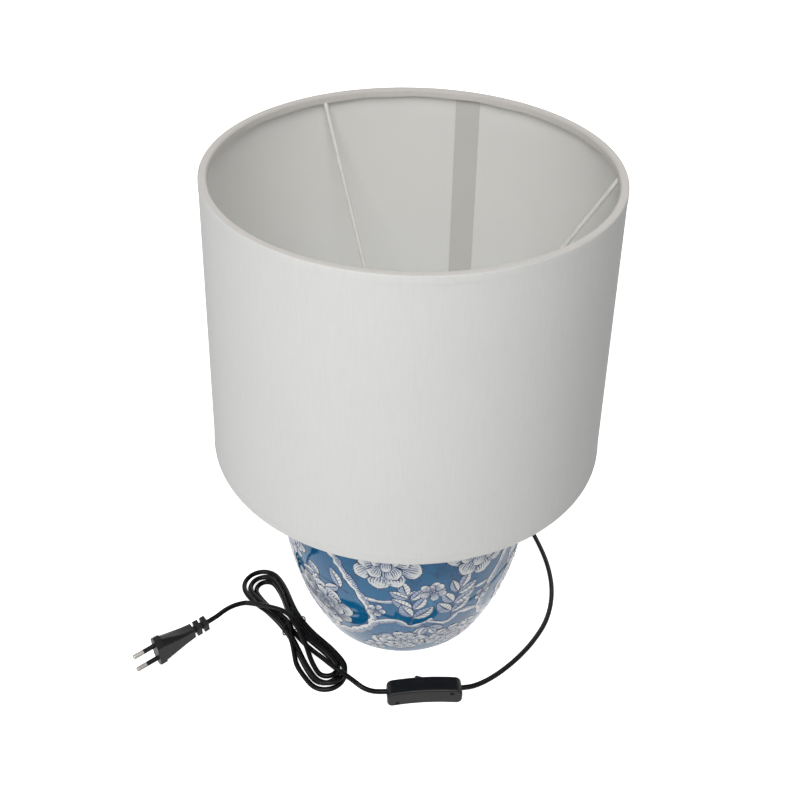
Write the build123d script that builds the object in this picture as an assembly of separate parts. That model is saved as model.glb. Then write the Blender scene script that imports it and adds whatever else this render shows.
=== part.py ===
"""Ginger jar table lamp: glazed jar, lampholder, drum shade and a mains lead in a hank.

Millimetres, +Z up. The origin is on the surface that the lamp stands on, on the axis of
the jar. +Y points to the back, where the lead leaves the foot.
"""
from build123d import *
from math import cos, degrees, dist, pi, radians, sin, sqrt, tan
import os

# ---------------------------------------------------------------- driving dimensions
LAMP_HEIGHT = 410.0

# drum shade
SHADE_HEIGHT = 220.0
SHADE_TOP_RADIUS = 140.0
SHADE_FOOT_RADIUS = 150.0
SHADE_BASE_Z = LAMP_HEIGHT - SHADE_HEIGHT
COVER_THICKNESS = 0.5
LINER_THICKNESS = 1.0
GLUE_GAP = 0.05
FRAME_WIRE = 3.2
TRIM_THICKNESS = 0.5
TRIM_HEIGHT = 5.5
SEAM_AZIMUTH = 73.0
SEAM_WIDTH = 19.0
ARM_AZIMUTHS = (0.0, 120.0, 240.0)
FITTER_Z = 220.0

# jar
FELT_THICKNESS = 1.5
JAR_RADIUS = 102.0
JAR_WIDEST_Z = 118.0
FOOT_RADIUS = 75.5
FOOT_INNER_RADIUS = 67.0
SHOULDER_RADIUS = 56.0
NECK_RADIUS = 40.0
NECK_FILLET = 6.0
NECK_TOP_Z = 186.0
JAR_WALL = 5.0
JAR_FLOOR_Z = 36.0

# rod and cap
ROD_RADIUS = 5.0
ROD_BORE = 4.0
THREAD_GAP = 0.05
CAP_THICKNESS = 1.6
NUT_ACROSS_FLATS = 14.0
NUT_HEIGHT = 3.0

# lampholder
SLEEVE_RADIUS = 19.52
SHELL_BORE = 13.2
THREAD_LENGTH = 19.5

# lead
CORD = 4.2
CORD_EXIT_Z = 12.0
GROMMET_TIP_Y = 101.0

# switch on the lead, lying on its side
SWITCH_CENTRE = (20.5, -118.3)
SWITCH_AZIMUTH = 5.5
SWITCH_LENGTH = 61.0
SWITCH_DEPTH = 15.0
SWITCH_WIDTH = 16.0
SWITCH_CURVE = 211.0
ROCKER_TILT = 8.0

# hank
HANK_CENTRE = (-92.0, -56.2)
HANK_AZIMUTH = -54.2
HANK_REACH = 54.5
HANK_PITCH = 4.8
HANK_WAIST_STEP = 5.2
HANK_INNER = 8.0
HANK_LIFT = 1.4
HANK_LAYERS = (2.2, 7.05, 11.9)

# plug, standing on its edge
PLUG_FACE = (-201.4, -96.4, 17.75)
PLUG_AZIMUTH = 219.0
PLUG_PITCH = 3.0
PLUG_ROLL = 85.0
PIN_PITCH = 18.6
PIN_LENGTH = 19.0
PLUG_WIDTH = 35.3
PLUG_THICKNESS = 13.7

PARTS = {}


def keep(name, shape):
    """Store a finished sub-part under its node name."""
    PARTS[name] = shape
    return shape


def polar(radius, azimuth, z=0.0):
    """A point at a radius and an azimuth in degrees."""
    return Vector(radius * cos(radians(azimuth)), radius * sin(radians(azimuth)), z)


def ring(inner, outer, low, high):
    """A plain ring about the Z axis between two heights."""
    tall = high - low
    base = Pos(0, 0, low)
    disc = base * Cylinder(outer, tall, align=(Align.CENTER, Align.CENTER, Align.MIN))
    if inner <= 0:
        return disc
    return disc - base * Cylinder(inner, tall, align=(Align.CENTER, Align.CENTER, Align.MIN))


def turned(*lines, arc=360.0, start=0.0):
    """Revolve a closed outline in the XZ plane about the Z axis."""
    face = make_face(Curve() + list(lines))
    return Rot(0, 0, start) * revolve(face, Axis.Z, arc)


def outline(points):
    """A closed outline of straight lines in the XZ plane."""
    corners = [(x, 0, z) for x, z in points]
    return Polyline(*corners, close=True)


def hexagon_nut(low):
    """A thin hexagon nut for the rod."""
    flats = RegularPolygon(NUT_ACROSS_FLATS / 2, 6, major_radius=False)
    nut = Pos(0, 0, low) * extrude(flats, NUT_HEIGHT)
    return nut - ring(0, ROD_RADIUS + THREAD_GAP, low, low + NUT_HEIGHT)


# ---------------------------------------------------------------- jar and its fixing
BELLY_ARC = ((JAR_WIDEST_Z ** 2 + (JAR_RADIUS - FOOT_RADIUS) ** 2)
             / (2 * (JAR_RADIUS - FOOT_RADIUS)))


def belly_radius(z, inset=0.0):
    """Radius of the belly below its widest height."""
    arc = BELLY_ARC - inset
    return JAR_RADIUS - BELLY_ARC + sqrt(arc ** 2 - (z - JAR_WIDEST_Z) ** 2)


def belly(low, high, inset=0.0):
    """The belly's arc between two heights."""
    middle = (low + high) / 2
    heights = (low, middle, high)
    return ThreePointArc(*[(belly_radius(z, inset), 0, z) for z in heights])


def shoulder(inset=0.0):
    """The shoulder's quarter arc, from the widest height up to the neck's root."""
    radius = SHOULDER_RADIUS - inset
    centre = JAR_RADIUS - SHOULDER_RADIUS
    slant = radius * sqrt(0.5)
    return ThreePointArc((centre + radius, 0, JAR_WIDEST_Z),
                         (centre + slant, 0, JAR_WIDEST_Z + slant),
                         (centre, 0, JAR_WIDEST_Z + radius))


SPOT_FACE_Y = 77.5
BUSH_LIP_Y = 67.4
CORD_HOLE = 4.5


def jar_body():
    """The hollow glazed jar, with a raised floor, an open neck and a hole for the lead."""
    foot_z = FELT_THICKNESS
    root = JAR_RADIUS - SHOULDER_RADIUS
    root_z = JAR_WIDEST_Z + SHOULDER_RADIUS
    bend = NECK_FILLET * (1 - sqrt(0.5))
    neck_in = NECK_RADIUS - JAR_WALL
    floor_top = JAR_FLOOR_Z + JAR_WALL
    hollow_top = root_z - JAR_WALL
    rim = 2.0
    edge = rim * (1 - sqrt(0.5))
    foot_edge = FOOT_RADIUS - 1.5
    skirt_top = belly_radius(JAR_FLOOR_Z) - JAR_WALL - 1.5
    body = turned(
        Line((FOOT_INNER_RADIUS, 0, foot_z), (foot_edge, 0, foot_z)),
        Line((foot_edge, 0, foot_z), (belly_radius(foot_z + 2), 0, foot_z + 2)),
        belly(foot_z + 2, JAR_WIDEST_Z),
        shoulder(),
        ThreePointArc((root, 0, root_z), (NECK_RADIUS + bend, 0, root_z + bend),
                      (NECK_RADIUS, 0, root_z + NECK_FILLET)),
        Line((NECK_RADIUS, 0, root_z + NECK_FILLET), (NECK_RADIUS, 0, NECK_TOP_Z - rim)),
        ThreePointArc((NECK_RADIUS, 0, NECK_TOP_Z - rim),
                      (NECK_RADIUS - edge, 0, NECK_TOP_Z - edge),
                      (NECK_RADIUS - rim, 0, NECK_TOP_Z)),
        Line((NECK_RADIUS - rim, 0, NECK_TOP_Z), (neck_in, 0, NECK_TOP_Z)),
        Line((neck_in, 0, NECK_TOP_Z), (neck_in, 0, hollow_top)),
        Line((neck_in, 0, hollow_top), (root, 0, hollow_top)),
        shoulder(JAR_WALL),
        belly(floor_top, JAR_WIDEST_Z, JAR_WALL),
        Line((belly_radius(floor_top, JAR_WALL), 0, floor_top), (ROD_RADIUS + 0.6, 0, floor_top)),
        Line((ROD_RADIUS + 0.6, 0, floor_top), (ROD_RADIUS + 0.6, 0, JAR_FLOOR_Z)),
        Line((ROD_RADIUS + 0.6, 0, JAR_FLOOR_Z), (skirt_top, 0, JAR_FLOOR_Z)),
        Line((skirt_top, 0, JAR_FLOOR_Z), (FOOT_INNER_RADIUS, 0, foot_z)),
    )
    along_y = Pos(0, 60, CORD_EXIT_Z) * Rot(-90, 0, 0)
    hole = along_y * Cylinder(CORD_HOLE, 40, align=(Align.CENTER, Align.CENTER, Align.MIN))
    seat = Pos(0, SPOT_FACE_Y, CORD_EXIT_Z) * Rot(-90, 0, 0)
    spot_face = seat * Cylinder(7.0, 20, align=(Align.CENTER, Align.CENTER, Align.MIN))
    return body - hole - spot_face


def jar_fixing():
    """Felt, rod, washers, nuts and the metal cap that clamp the jar together."""
    gasket_z = JAR_FLOOR_Z - 1.5
    washer_z = gasket_z - 2.0
    nut_z = washer_z - NUT_HEIGHT
    keep("foot_felt", ring(0, FOOT_RADIUS - 2.5, 0, FELT_THICKNESS))
    keep("base_gasket", ring(ROD_RADIUS + 0.6, 28, gasket_z, JAR_FLOOR_Z))
    keep("base_washer", ring(ROD_RADIUS + 0.4, 30, washer_z, gasket_z))
    keep("base_nut", hexagon_nut(nut_z))
    keep("threaded_rod", ring(ROD_BORE, ROD_RADIUS, nut_z - 2.5, ROD_TOP_Z))
    lip_in = NECK_RADIUS + 0.4
    lip_out = lip_in + CAP_THICKNESS
    cap_top = NECK_TOP_Z + CAP_THICKNESS
    cap = ring(ROD_RADIUS + 0.4, lip_out, NECK_TOP_Z, cap_top)
    cap += ring(lip_in, lip_out, NECK_TOP_Z - 4.5, NECK_TOP_Z)
    rim = cap.edges().filter_by(GeomType.CIRCLE).filter_by_position(Axis.Z, cap_top - 0.1, cap_top + 0.1)
    keep("neck_cap", fillet(rim.sort_by(SortBy.RADIUS)[-1], 1.2))
    keep("cap_nut", hexagon_nut(cap_top))


# ---------------------------------------------------------------- lampholder
HOLDER_Z = NECK_TOP_Z + CAP_THICKNESS + NUT_HEIGHT
ROD_TOP_Z = HOLDER_Z + 8.0
CORE_Z = HOLDER_Z + 15.0
CUP_TOP_Z = HOLDER_Z + 23.0
SHELL_Z = FITTER_Z - 1.0
THREAD_Z = SHELL_Z + 5.0
HOLDER_TOP_Z = FITTER_Z + 27.0
LEAD_TOP_Z = ROD_TOP_Z + 1.5
TERMINAL_X = 9.5


def holder_base():
    """The domed lower cup of the lampholder, threaded onto the rod."""
    wall = 1.6
    cup = turned(
        Line((0, 0, HOLDER_Z), (9, 0, HOLDER_Z)),
        Line((9, 0, HOLDER_Z), (9, 0, HOLDER_Z + 5)),
        ThreePointArc((9, 0, HOLDER_Z + 5), (16.4, 0, HOLDER_Z + 8.2),
                      (SLEEVE_RADIUS, 0, HOLDER_Z + 15.5)),
        Line((SLEEVE_RADIUS, 0, HOLDER_Z + 15.5), (SLEEVE_RADIUS, 0, CUP_TOP_Z)),
        Line((SLEEVE_RADIUS, 0, CUP_TOP_Z), (0, 0, CUP_TOP_Z)),
        Line((0, 0, CUP_TOP_Z), (0, 0, HOLDER_Z)),
    )
    hollow = turned(
        Line((0, 0, HOLDER_Z + 8), (9.5, 0, HOLDER_Z + 8)),
        ThreePointArc((9.5, 0, HOLDER_Z + 8), (15.6, 0, HOLDER_Z + 10.4),
                      (SLEEVE_RADIUS - wall, 0, HOLDER_Z + 16)),
        Line((SLEEVE_RADIUS - wall, 0, HOLDER_Z + 16), (SLEEVE_RADIUS - wall, 0, CUP_TOP_Z)),
        Line((SLEEVE_RADIUS - wall, 0, CUP_TOP_Z), (0, 0, CUP_TOP_Z)),
        Line((0, 0, CUP_TOP_Z), (0, 0, HOLDER_Z + 8)),
    )
    bore = ring(0, ROD_RADIUS + THREAD_GAP, HOLDER_Z, HOLDER_Z + 8)
    lock_hole = Pos(0, -4, HOLDER_Z + 2.5) * Rot(90, 0, 0) * Cylinder(
        1.55, 6, align=(Align.CENTER, Align.CENTER, Align.MIN))
    return cup - hollow - bore - lock_hole


def holder_sleeve():
    """The outer sleeve: flange for the shade, and an inward rim round the socket's mouth."""
    wall = 1.6
    sleeve = ring(SLEEVE_RADIUS - wall, SLEEVE_RADIUS, CUP_TOP_Z, HOLDER_TOP_Z)
    sleeve += ring(SLEEVE_RADIUS - wall, 22.8, FITTER_Z - 2.5, FITTER_Z)
    sleeve += ring(SHELL_BORE + 1.2, SLEEVE_RADIUS, HOLDER_TOP_Z - 1.8, HOLDER_TOP_Z)
    return sleeve


def holder_core():
    """The insulating core that carries the screw shell, the contacts and the terminals."""
    core = ring(0, 17.4, CORE_Z, SHELL_Z - 0.6)
    core -= ring(0, 4.0, CORE_Z, CORE_Z + 3)
    for side in (-1, 1):
        core -= Pos(side * TERMINAL_X, 0, CORE_Z) * Cylinder(1.3, 4)
    return core


def terminal(side):
    """One brass terminal block under the core."""
    block = Pos(side * TERMINAL_X, 0, CORE_Z - 2.2) * Box(4.4, 5.4, 4.4)
    entry_z = LEAD_TOP_Z + 3.1
    entry = Pos(side * (TERMINAL_X - 1.1), 0, entry_z) * Rot(0, 90, 0) * Cylinder(1.05, 2.4)
    screw_hole = Pos(side * TERMINAL_X, 0, CORE_Z - 4.2) * Cylinder(1.3, 1.6)
    return block - entry - screw_hole


def core_lead(side):
    """One insulated core from the end of the sheath to its terminal."""
    start_x = side * CORD / 4
    top_z = LEAD_TOP_Z + 3.1
    path = FilletPolyline((start_x, 0, LEAD_TOP_Z), (start_x, 0, top_z),
                          (side * (TERMINAL_X + 0.1), 0, top_z), radius=1.6)
    section = Plane((start_x, 0, LEAD_TOP_Z), z_dir=(0, 0, 1)) * Circle(1.0)
    return sweep(section, path=path)


def lampholder():
    """The three-part screw lampholder with its contacts, terminals and shade ring."""
    keep("holder_base", holder_base())
    keep("holder_sleeve", holder_sleeve())
    keep("holder_core", holder_core())
    shell = ring(SHELL_BORE, SHELL_BORE + 0.5, THREAD_Z, THREAD_Z + THREAD_LENGTH)
    shell += ring(SHELL_BORE - 1.0, SHELL_BORE + 0.5, SHELL_Z, THREAD_Z)
    shell += ring(SHELL_BORE - 1.0, 16.0, SHELL_Z - 0.6, SHELL_Z)
    keep("holder_screw_shell", shell)
    strip_z = SHELL_Z - 0.6
    strip = Polyline((-9, 0, strip_z), (-2, 0, strip_z), (4, 0, strip_z + 4.5), (9, 0, strip_z + 3.2),
                     (9, 0, strip_z + 3.8), (4, 0, strip_z + 5.1), (-2.2, 0, strip_z + 0.6),
                     (-9, 0, strip_z + 0.6), close=True)
    keep("centre_contact", extrude(make_face(strip), 3, both=True))
    keep("terminals", Compound([terminal(-1), terminal(1)]))
    screw_z = CORE_Z - 4.4
    screws = []
    for side in (-1, 1):
        head = Pos(side * TERMINAL_X, 0, screw_z - 0.8) * Cylinder(1.9, 1.6)
        slot = Pos(side * TERMINAL_X, 0, screw_z - 1.5) * Box(4, 0.6, 0.8)
        shank = Pos(side * TERMINAL_X, 0, screw_z + 0.3) * Cylinder(1.25, 1.0)
        screws.append(head - slot + shank)
    keep("terminal_screws", Compound(screws))
    keep("live_core", core_lead(1))
    keep("neutral_core", core_lead(-1))
    keep("holder_lock_screw", Pos(0, -ROD_RADIUS - 0.1, HOLDER_Z + 2.5) * Rot(90, 0, 0) * Cylinder(
        1.5, 3.6, align=(Align.CENTER, Align.CENTER, Align.MIN)))
    keep("shade_ring", shade_ring())


def shade_ring():
    """The screwed ring that clamps the shade's fitter, with finger grooves."""
    low = FITTER_Z + 2.1
    collar = ring(SLEEVE_RADIUS + 0.1, 24.3, low, low + 2.2) + ring(SLEEVE_RADIUS + 0.1, 23.0, low, low + 8)
    for azimuth in range(0, 360, 30):
        place = polar(23.9, azimuth, low + 5.6)
        collar -= Pos(place) * Cylinder(1.6, 6.0)
    return collar


# ---------------------------------------------------------------- shade
def shade_radius(z):
    """Outer radius of the shade's cover at a height."""
    share = (z - SHADE_BASE_Z) / SHADE_HEIGHT
    return SHADE_FOOT_RADIUS + (SHADE_TOP_RADIUS - SHADE_FOOT_RADIUS) * share


def cone_skin(outside, thickness, low, high, arc=360.0, start=0.0):
    """A thin skin parallel to the cover, a depth of outside below its face."""
    profile = []
    for depth, z in ((outside, low), (outside, high), (outside + thickness, high), (outside + thickness, low)):
        profile.append((shade_radius(z) - depth, z))
    return turned(outline(profile), arc=arc, start=start)


LINER_DEPTH = COVER_THICKNESS + GLUE_GAP
SHADE_WALL = LINER_DEPTH + LINER_THICKNESS
RING_EDGE = 4.0


def wire_ring(z):
    """A welded wire ring just inside the liner."""
    major = shade_radius(z) - SHADE_WALL - FRAME_WIRE / 2 - 0.2
    return Pos(0, 0, z) * Torus(major, FRAME_WIRE / 2), major


def edge_trim(edge_z, inward, ring_major):
    """The folded tape over one edge of the shade; inward is -1 at the top, 1 at the foot."""
    skin = TRIM_THICKNESS
    leg_z = edge_z + inward * TRIM_HEIGHT
    turn_z = edge_z + inward * skin
    inside = ring_major - FRAME_WIRE / 2 - 0.15
    return turned(outline([
        (shade_radius(leg_z) + GLUE_GAP, leg_z),
        (shade_radius(leg_z) + GLUE_GAP + skin, leg_z),
        (shade_radius(edge_z) + GLUE_GAP + skin, edge_z),
        (inside - skin, edge_z),
        (inside - skin, leg_z),
        (inside, leg_z),
        (inside, turn_z),
        (shade_radius(turn_z) + GLUE_GAP, turn_z),
    ]))


def spider_arm(azimuth, top_ring, top_major, top_z, fitter):
    """A straight wire from the top ring down to the fitter ring, welded at both ends."""
    upper = polar(top_major, azimuth, top_z)
    lower = polar(28.0, azimuth, FITTER_Z + 1.0)
    line = Line(upper, lower)
    arm = sweep(Plane(upper, z_dir=(line @ 1) - (line @ 0)) * Circle(FRAME_WIRE / 2), path=line)
    arm = arm - top_ring - fitter
    return arm.solids().sort_by(SortBy.VOLUME)[-1]


def shade():
    """Cover, liner, seam, edge tapes and the welded wire frame of the shade."""
    inset = TRIM_THICKNESS + 0.1
    low = SHADE_BASE_Z + inset
    high = LAMP_HEIGHT - inset
    keep("shade_cover", cone_skin(0, COVER_THICKNESS, low, high))
    keep("shade_liner", cone_skin(LINER_DEPTH, LINER_THICKNESS, low, high))
    seam_arc = degrees(SEAM_WIDTH / SHADE_TOP_RADIUS)
    keep("seam_strip", cone_skin(SHADE_WALL + GLUE_GAP, 0.5, SHADE_BASE_Z + 7, LAMP_HEIGHT - 7,
                                 arc=seam_arc, start=SEAM_AZIMUTH - seam_arc / 2))
    top_z = LAMP_HEIGHT - RING_EDGE
    foot_z = SHADE_BASE_Z + RING_EDGE
    top_ring, top_major = wire_ring(top_z)
    foot_ring, foot_major = wire_ring(foot_z)
    keep("top_ring", top_ring)
    keep("bottom_ring", foot_ring)
    fitter = ring(SLEEVE_RADIUS + 0.08, 30.0, FITTER_Z + 0.05, FITTER_Z + 2.05)
    keep("fitter_ring", fitter)
    top_trim = edge_trim(LAMP_HEIGHT, -1, top_major)
    for number, azimuth in enumerate(ARM_AZIMUTHS, start=1):
        arm = spider_arm(azimuth, top_ring, top_major, top_z, fitter)
        keep("spider_arm_%d" % number, arm)
        reach = polar(top_major - 6, azimuth, top_z - 6 * 1.6)
        notch = sweep(Plane(reach, z_dir=polar(top_major, azimuth, top_z) - reach) * Circle(FRAME_WIRE / 2 + 0.15),
                      path=Line(reach, polar(top_major, azimuth, top_z)))
        top_trim -= notch
    keep("top_trim", top_trim)
    keep("bottom_trim", edge_trim(SHADE_BASE_Z, 1, foot_major))


# ---------------------------------------------------------------- lead inside the lamp
def grommet():
    """The tapered bush in the foot's wall, with its flange outside and its lip inside."""
    bore = CORD / 2 + 0.05
    barrel = CORD_HOLE - 0.1
    lip = BUSH_LIP_Y
    flange = SPOT_FACE_Y
    profile = outline([
        (bore, lip), (5.2, lip), (5.2, lip + 1.2), (barrel, lip + 1.2), (barrel, flange), (6.3, flange),
        (6.3, flange + 1.6), (4.6, flange + 2.6), (3.1, GROMMET_TIP_Y), (bore, GROMMET_TIP_Y),
    ])
    return Pos(0, 0, CORD_EXIT_Z) * Rot(-90, 0, 0) * turned(profile)


def inner_lead():
    """The sheathed lead from the bush, through the foot and up the rod."""
    exit_point = (0, GROMMET_TIP_Y, CORD_EXIT_Z)
    path = FilletPolyline(exit_point, (0, 0, CORD_EXIT_Z), (0, 0, LEAD_TOP_Z), radius=13)
    return sweep(Plane(exit_point, z_dir=(0, -1, 0)) * Circle(CORD / 2), path=path)


def cord_stop():
    """The clamp on the lead just inside the foot, which takes a pull on the lead."""
    block = Pos(0, 63, CORD_EXIT_Z) * Box(13, 6, 9)
    block = fillet(block.edges().filter_by(Axis.Y), 2.0)
    bore = Pos(0, 63, CORD_EXIT_Z) * Rot(90, 0, 0) * Cylinder(CORD / 2 + 0.05, 8)
    return block - bore


# ---------------------------------------------------------------- free lead
def corner_radii(route, share=0.45):
    """Arc radius at each inner point: 0.45 of the shorter run over the tangent of half the turn."""
    radii = []
    for before, here, after in zip(route, route[1:], route[2:]):
        into = Vector(*here) - Vector(*before)
        out = Vector(*after) - Vector(*here)
        turn = radians(into.get_angle(out))
        radii.append(share * min(into.length, out.length) / tan(turn / 2))
    return radii


def cord_tube(name, route):
    """A round cord along straight runs joined by tangent arcs; prints its radii and volume."""
    radii = corner_radii(route)
    path = FilletPolyline(*route, radius=radii)
    wire = Wire(path.edges())
    start = Vector(*route[0])
    section = Plane(start, z_dir=Vector(*route[1]) - start) * Circle(CORD / 2)
    tube = sweep(section, path=wire)
    expected = pi * (CORD / 2) ** 2 * wire.length
    print(name, "radii", [round(r, 1) for r in radii], "length", round(wire.length, 1),
          "volume ratio", round(tube.volume / expected, 4))
    keep(name, tube)
    return wire.length


LAMP_LEAD_ROUTE = [
    (0, 101, 12), (0, 111, 12), (2.5, 123, 9.4), (10, 135, 5.2), (25, 144.5, 2.6), (47, 148, 2.15),
    (76, 141, 2.15), (101, 119, 2.15), (117, 90, 2.15), (128, 60, 2.15), (136, 27, 2.15),
    (137, -6, 2.15), (129.5, -37, 2.15), (115, -61.5, 2.15), (100, -80, 2.4), (85, -95.2, 3.6),
    (73, -105.6, 5.6), (64, -111.8, 7.4), (56.83, -114.81, 8.0), (50.86, -115.38, 8.0),
]
SWITCH_LEAD_ROUTE = [
    (-9.86, -121.22, 8.0), (-17.3, -121.94, 8.0), (-25.2, -121.9, 10.0), (-31.4, -119.8, 12.2),
    (-36.4, -116.1, 13.4),
]
PLUG_LEAD_ROUTE = [
    (-132.9, -38.3, 14.1), (-139.9, -40.2, 14.9), (-146.9, -45.2, 16.6), (-152.6, -52.6, 18.9),
    (-157.17, -60.57, 20.73), (-164.15, -66.23, 20.26),
]


# ---------------------------------------------------------------- hank
def hank_point(along, across, height):
    """A point of the hank in the lamp's frame."""
    c, s = cos(radians(HANK_AZIMUTH)), sin(radians(HANK_AZIMUTH))
    return Vector(HANK_CENTRE[0] + along * c - across * s, HANK_CENTRE[1] + along * s + across * c, height)


def hank_heading(along, across, rise=0.0):
    """A unit direction of the hank in the lamp's frame."""
    c, s = cos(radians(HANK_AZIMUTH)), sin(radians(HANK_AZIMUTH))
    return Vector(along * c - across * s, along * s + across * c, rise).normalized()


def biarc(start, start_way, end, end_way):
    """Two arcs that leave start along start_way and arrive at end along end_way."""
    chord = end - start
    spread = 2 * (1 - start_way.dot(end_way))
    reach = chord.dot(start_way + end_way)
    if spread < 1e-9:
        length = chord.dot(chord) / (4 * chord.dot(end_way))
    else:
        length = (-reach + sqrt(reach ** 2 + spread * chord.dot(chord))) / spread
    joint = (start + end + (start_way - end_way) * length) / 2
    middle_way = (end - end_way * length - start - start_way * length).normalized()
    return [Edge.make_tangent_arc(start, start_way, joint),
            Edge.make_tangent_arc(joint, middle_way, end)]


def half_turn(start, way, end):
    """A half circle that leaves start along way and comes back to end, as two quarters."""
    across = end - start
    far = (start + end) / 2 + way * (across.length / 2)
    return [Edge.make_tangent_arc(start, way, far),
            Edge.make_tangent_arc(far, across.normalized(), end)]


def run_way(route, index):
    """Unit direction of one run of a route."""
    return (Vector(*route[index + 1]) - Vector(*route[index])).normalized()


def hank_stops():
    """Points and headings along the hank: in over one end, round each loop, out over a side."""
    out, back = (1, 0), (-1, 0)
    low, mid, high = HANK_LAYERS
    inner = HANK_WAIST_STEP / 2
    outer = HANK_WAIST_STEP * 1.5
    wide = [HANK_INNER + HANK_PITCH / 2 * step for step in range(5)]
    halfway = HANK_REACH / 2
    stops = [((59, 4, 12.1), (-1, -0.1, -0.12)), ((17, -1.2, 2.8), (-1, -0.05))]
    # each loop: waist, far end in and out, waist, near end in and out
    for far_in, far_out, near_out, waist, level in (
            (wide[0], wide[1], wide[2], inner, low), (wide[2], wide[3], wide[4], outer, low),
            (wide[4], wide[3], wide[2], outer, mid), (wide[2], wide[1], wide[0], inner, mid)):
        stops += [
            ((0, -waist, level + HANK_LIFT), back),
            ((-HANK_REACH, -far_in, level), back),
            ((-HANK_REACH, far_out, level), out),
            ((0, waist, level + HANK_LIFT), out),
            ((HANK_REACH, far_out, level), out),
            ((HANK_REACH, -near_out, level), back),
        ]
        if near_out == wide[4]:
            stops.append(((halfway, -(wide[2] + outer) / 2 - HANK_PITCH, mid), (-1, 0.13)))
    stops += [((halfway, -3.6, high), (-1, 0.06)), ((0, 0, high + HANK_LIFT), back)]
    placed = [(hank_point(*place), hank_heading(*way)) for place, way in stops]
    entry = (Vector(*SWITCH_LEAD_ROUTE[-1]), run_way(SWITCH_LEAD_ROUTE, -2))
    leave = (Vector(*PLUG_LEAD_ROUTE[0]), run_way(PLUG_LEAD_ROUTE, 0))
    return [entry] + placed + [leave]


def least_gap(wire, skip=15.0, step=0.8):
    """Least space between strands of one cord, measured on points along its path."""
    count = int(wire.length / step)
    points = [tuple(wire.position_at(i / count)) for i in range(count + 1)]
    ahead = int(skip / step)
    nearest = min(dist(here, there) for i, here in enumerate(points) for there in points[i + ahead:])
    return nearest - CORD


def cord_hank():
    """The spare lead, wound to and fro in one unbroken run and drawn in at the waist."""
    stops = hank_stops()
    edges = []
    for (start, way), (end, end_way) in zip(stops, stops[1:]):
        turn = half_turn(start, way, end) if way.dot(end_way) < -0.99 else biarc(start, way, end, end_way)
        edges += turn
    wire = Wire(edges)
    section = Plane(stops[0][0], z_dir=stops[0][1]) * Circle(CORD / 2)
    tube = sweep(section, path=wire)
    expected = pi * (CORD / 2) ** 2 * wire.length
    print("cord_hank length", round(wire.length, 1), "volume ratio", round(tube.volume / expected, 4),
          "least gap", round(least_gap(wire), 2))
    keep("cord_hank", tube)
    return wire.length


def hank_tie():
    """The twist tie round the waist of the hank, with its twisted end."""
    tie_wire = 0.55
    half_width = HANK_WAIST_STEP * 1.5 + CORD / 2 + 0.85
    low = 0.7
    shoulder_z = HANK_LAYERS[1] + HANK_LIFT + 2.6
    crest_z = HANK_LAYERS[2] + HANK_LIFT + CORD / 2 + 0.85
    corner = 1.6
    side = [(half_width, low + corner), (half_width, shoulder_z), (3.4, crest_z), (-3.4, crest_z),
            (-half_width, shoulder_z), (-half_width, low + corner), (-half_width + corner, low),
            (half_width - corner, low)]
    loop = FilletPolyline(*[hank_point(0, across, z) for across, z in side], radius=0.8, close=True)
    first = loop.edges()[0]
    band = sweep(Plane(first @ 0, z_dir=first % 0) * Circle(tie_wire), path=Wire(loop.edges()))
    tail = FilletPolyline(hank_point(0, 0, crest_z), hank_point(-1.5, 0, crest_z + 2.4),
                          hank_point(-9, 4, crest_z + 2.8), radius=1.0)
    keep("hank_tie", band + sweep(Plane(tail @ 0, z_dir=tail % 0) * Circle(tie_wire), path=tail))


# ---------------------------------------------------------------- switch on the lead
SWITCH_TOP = SWITCH_DEPTH / 2
SWITCH_FOOT = -SWITCH_DEPTH / 2
SWITCH_SPLIT = 2.2
SWITCH_WALL = 1.6
SWITCH_CORNER = 5.0
SWITCH_SCREWS = ((22.0, -4.3), (-22.0, 4.3))
ROCKER_PIN_Z = 2.6
ROCKER_PIN = 1.0
ROCKER_HALF_LENGTH = 7.7
ROCKER_WIDTH = 8.0
ROCKER_END = 8.6
ROCKER_DIP = 6.6
CONTACT_Y = -2.4
CORE_RADIUS = 0.9


def lay_switch(shape):
    """Lay a switch piece on its side; it is drawn with length X, width Y and the rocker up Z."""
    return (Pos(SWITCH_CENTRE[0], SWITCH_CENTRE[1], SWITCH_WIDTH / 2) * Rot(0, 0, SWITCH_AZIMUTH)
            * Rot(-90, 0, 0) * shape)


def bent_bar(length, width, low, high, corner):
    """A bar that bulges upwards, with round corners in plan, between two heights at its middle."""
    half = length / 2 + 2
    drop = SWITCH_CURVE - sqrt(SWITCH_CURVE ** 2 - half ** 2)
    side = Curve() + [
        Line((-half, 0, low - drop), (-half, 0, high - drop)),
        ThreePointArc((-half, 0, high - drop), (0, 0, high), (half, 0, high - drop)),
        Line((half, 0, high - drop), (half, 0, low - drop)),
        ThreePointArc((half, 0, low - drop), (0, 0, low), (-half, 0, low - drop)),
    ]
    plan = Pos(0, 0, -2 * SWITCH_WIDTH) * extrude(RectangleRounded(length, width, corner), 4 * SWITCH_WIDTH)
    return extrude(make_face(side), width / 2 + 2, both=True) & plan


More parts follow.
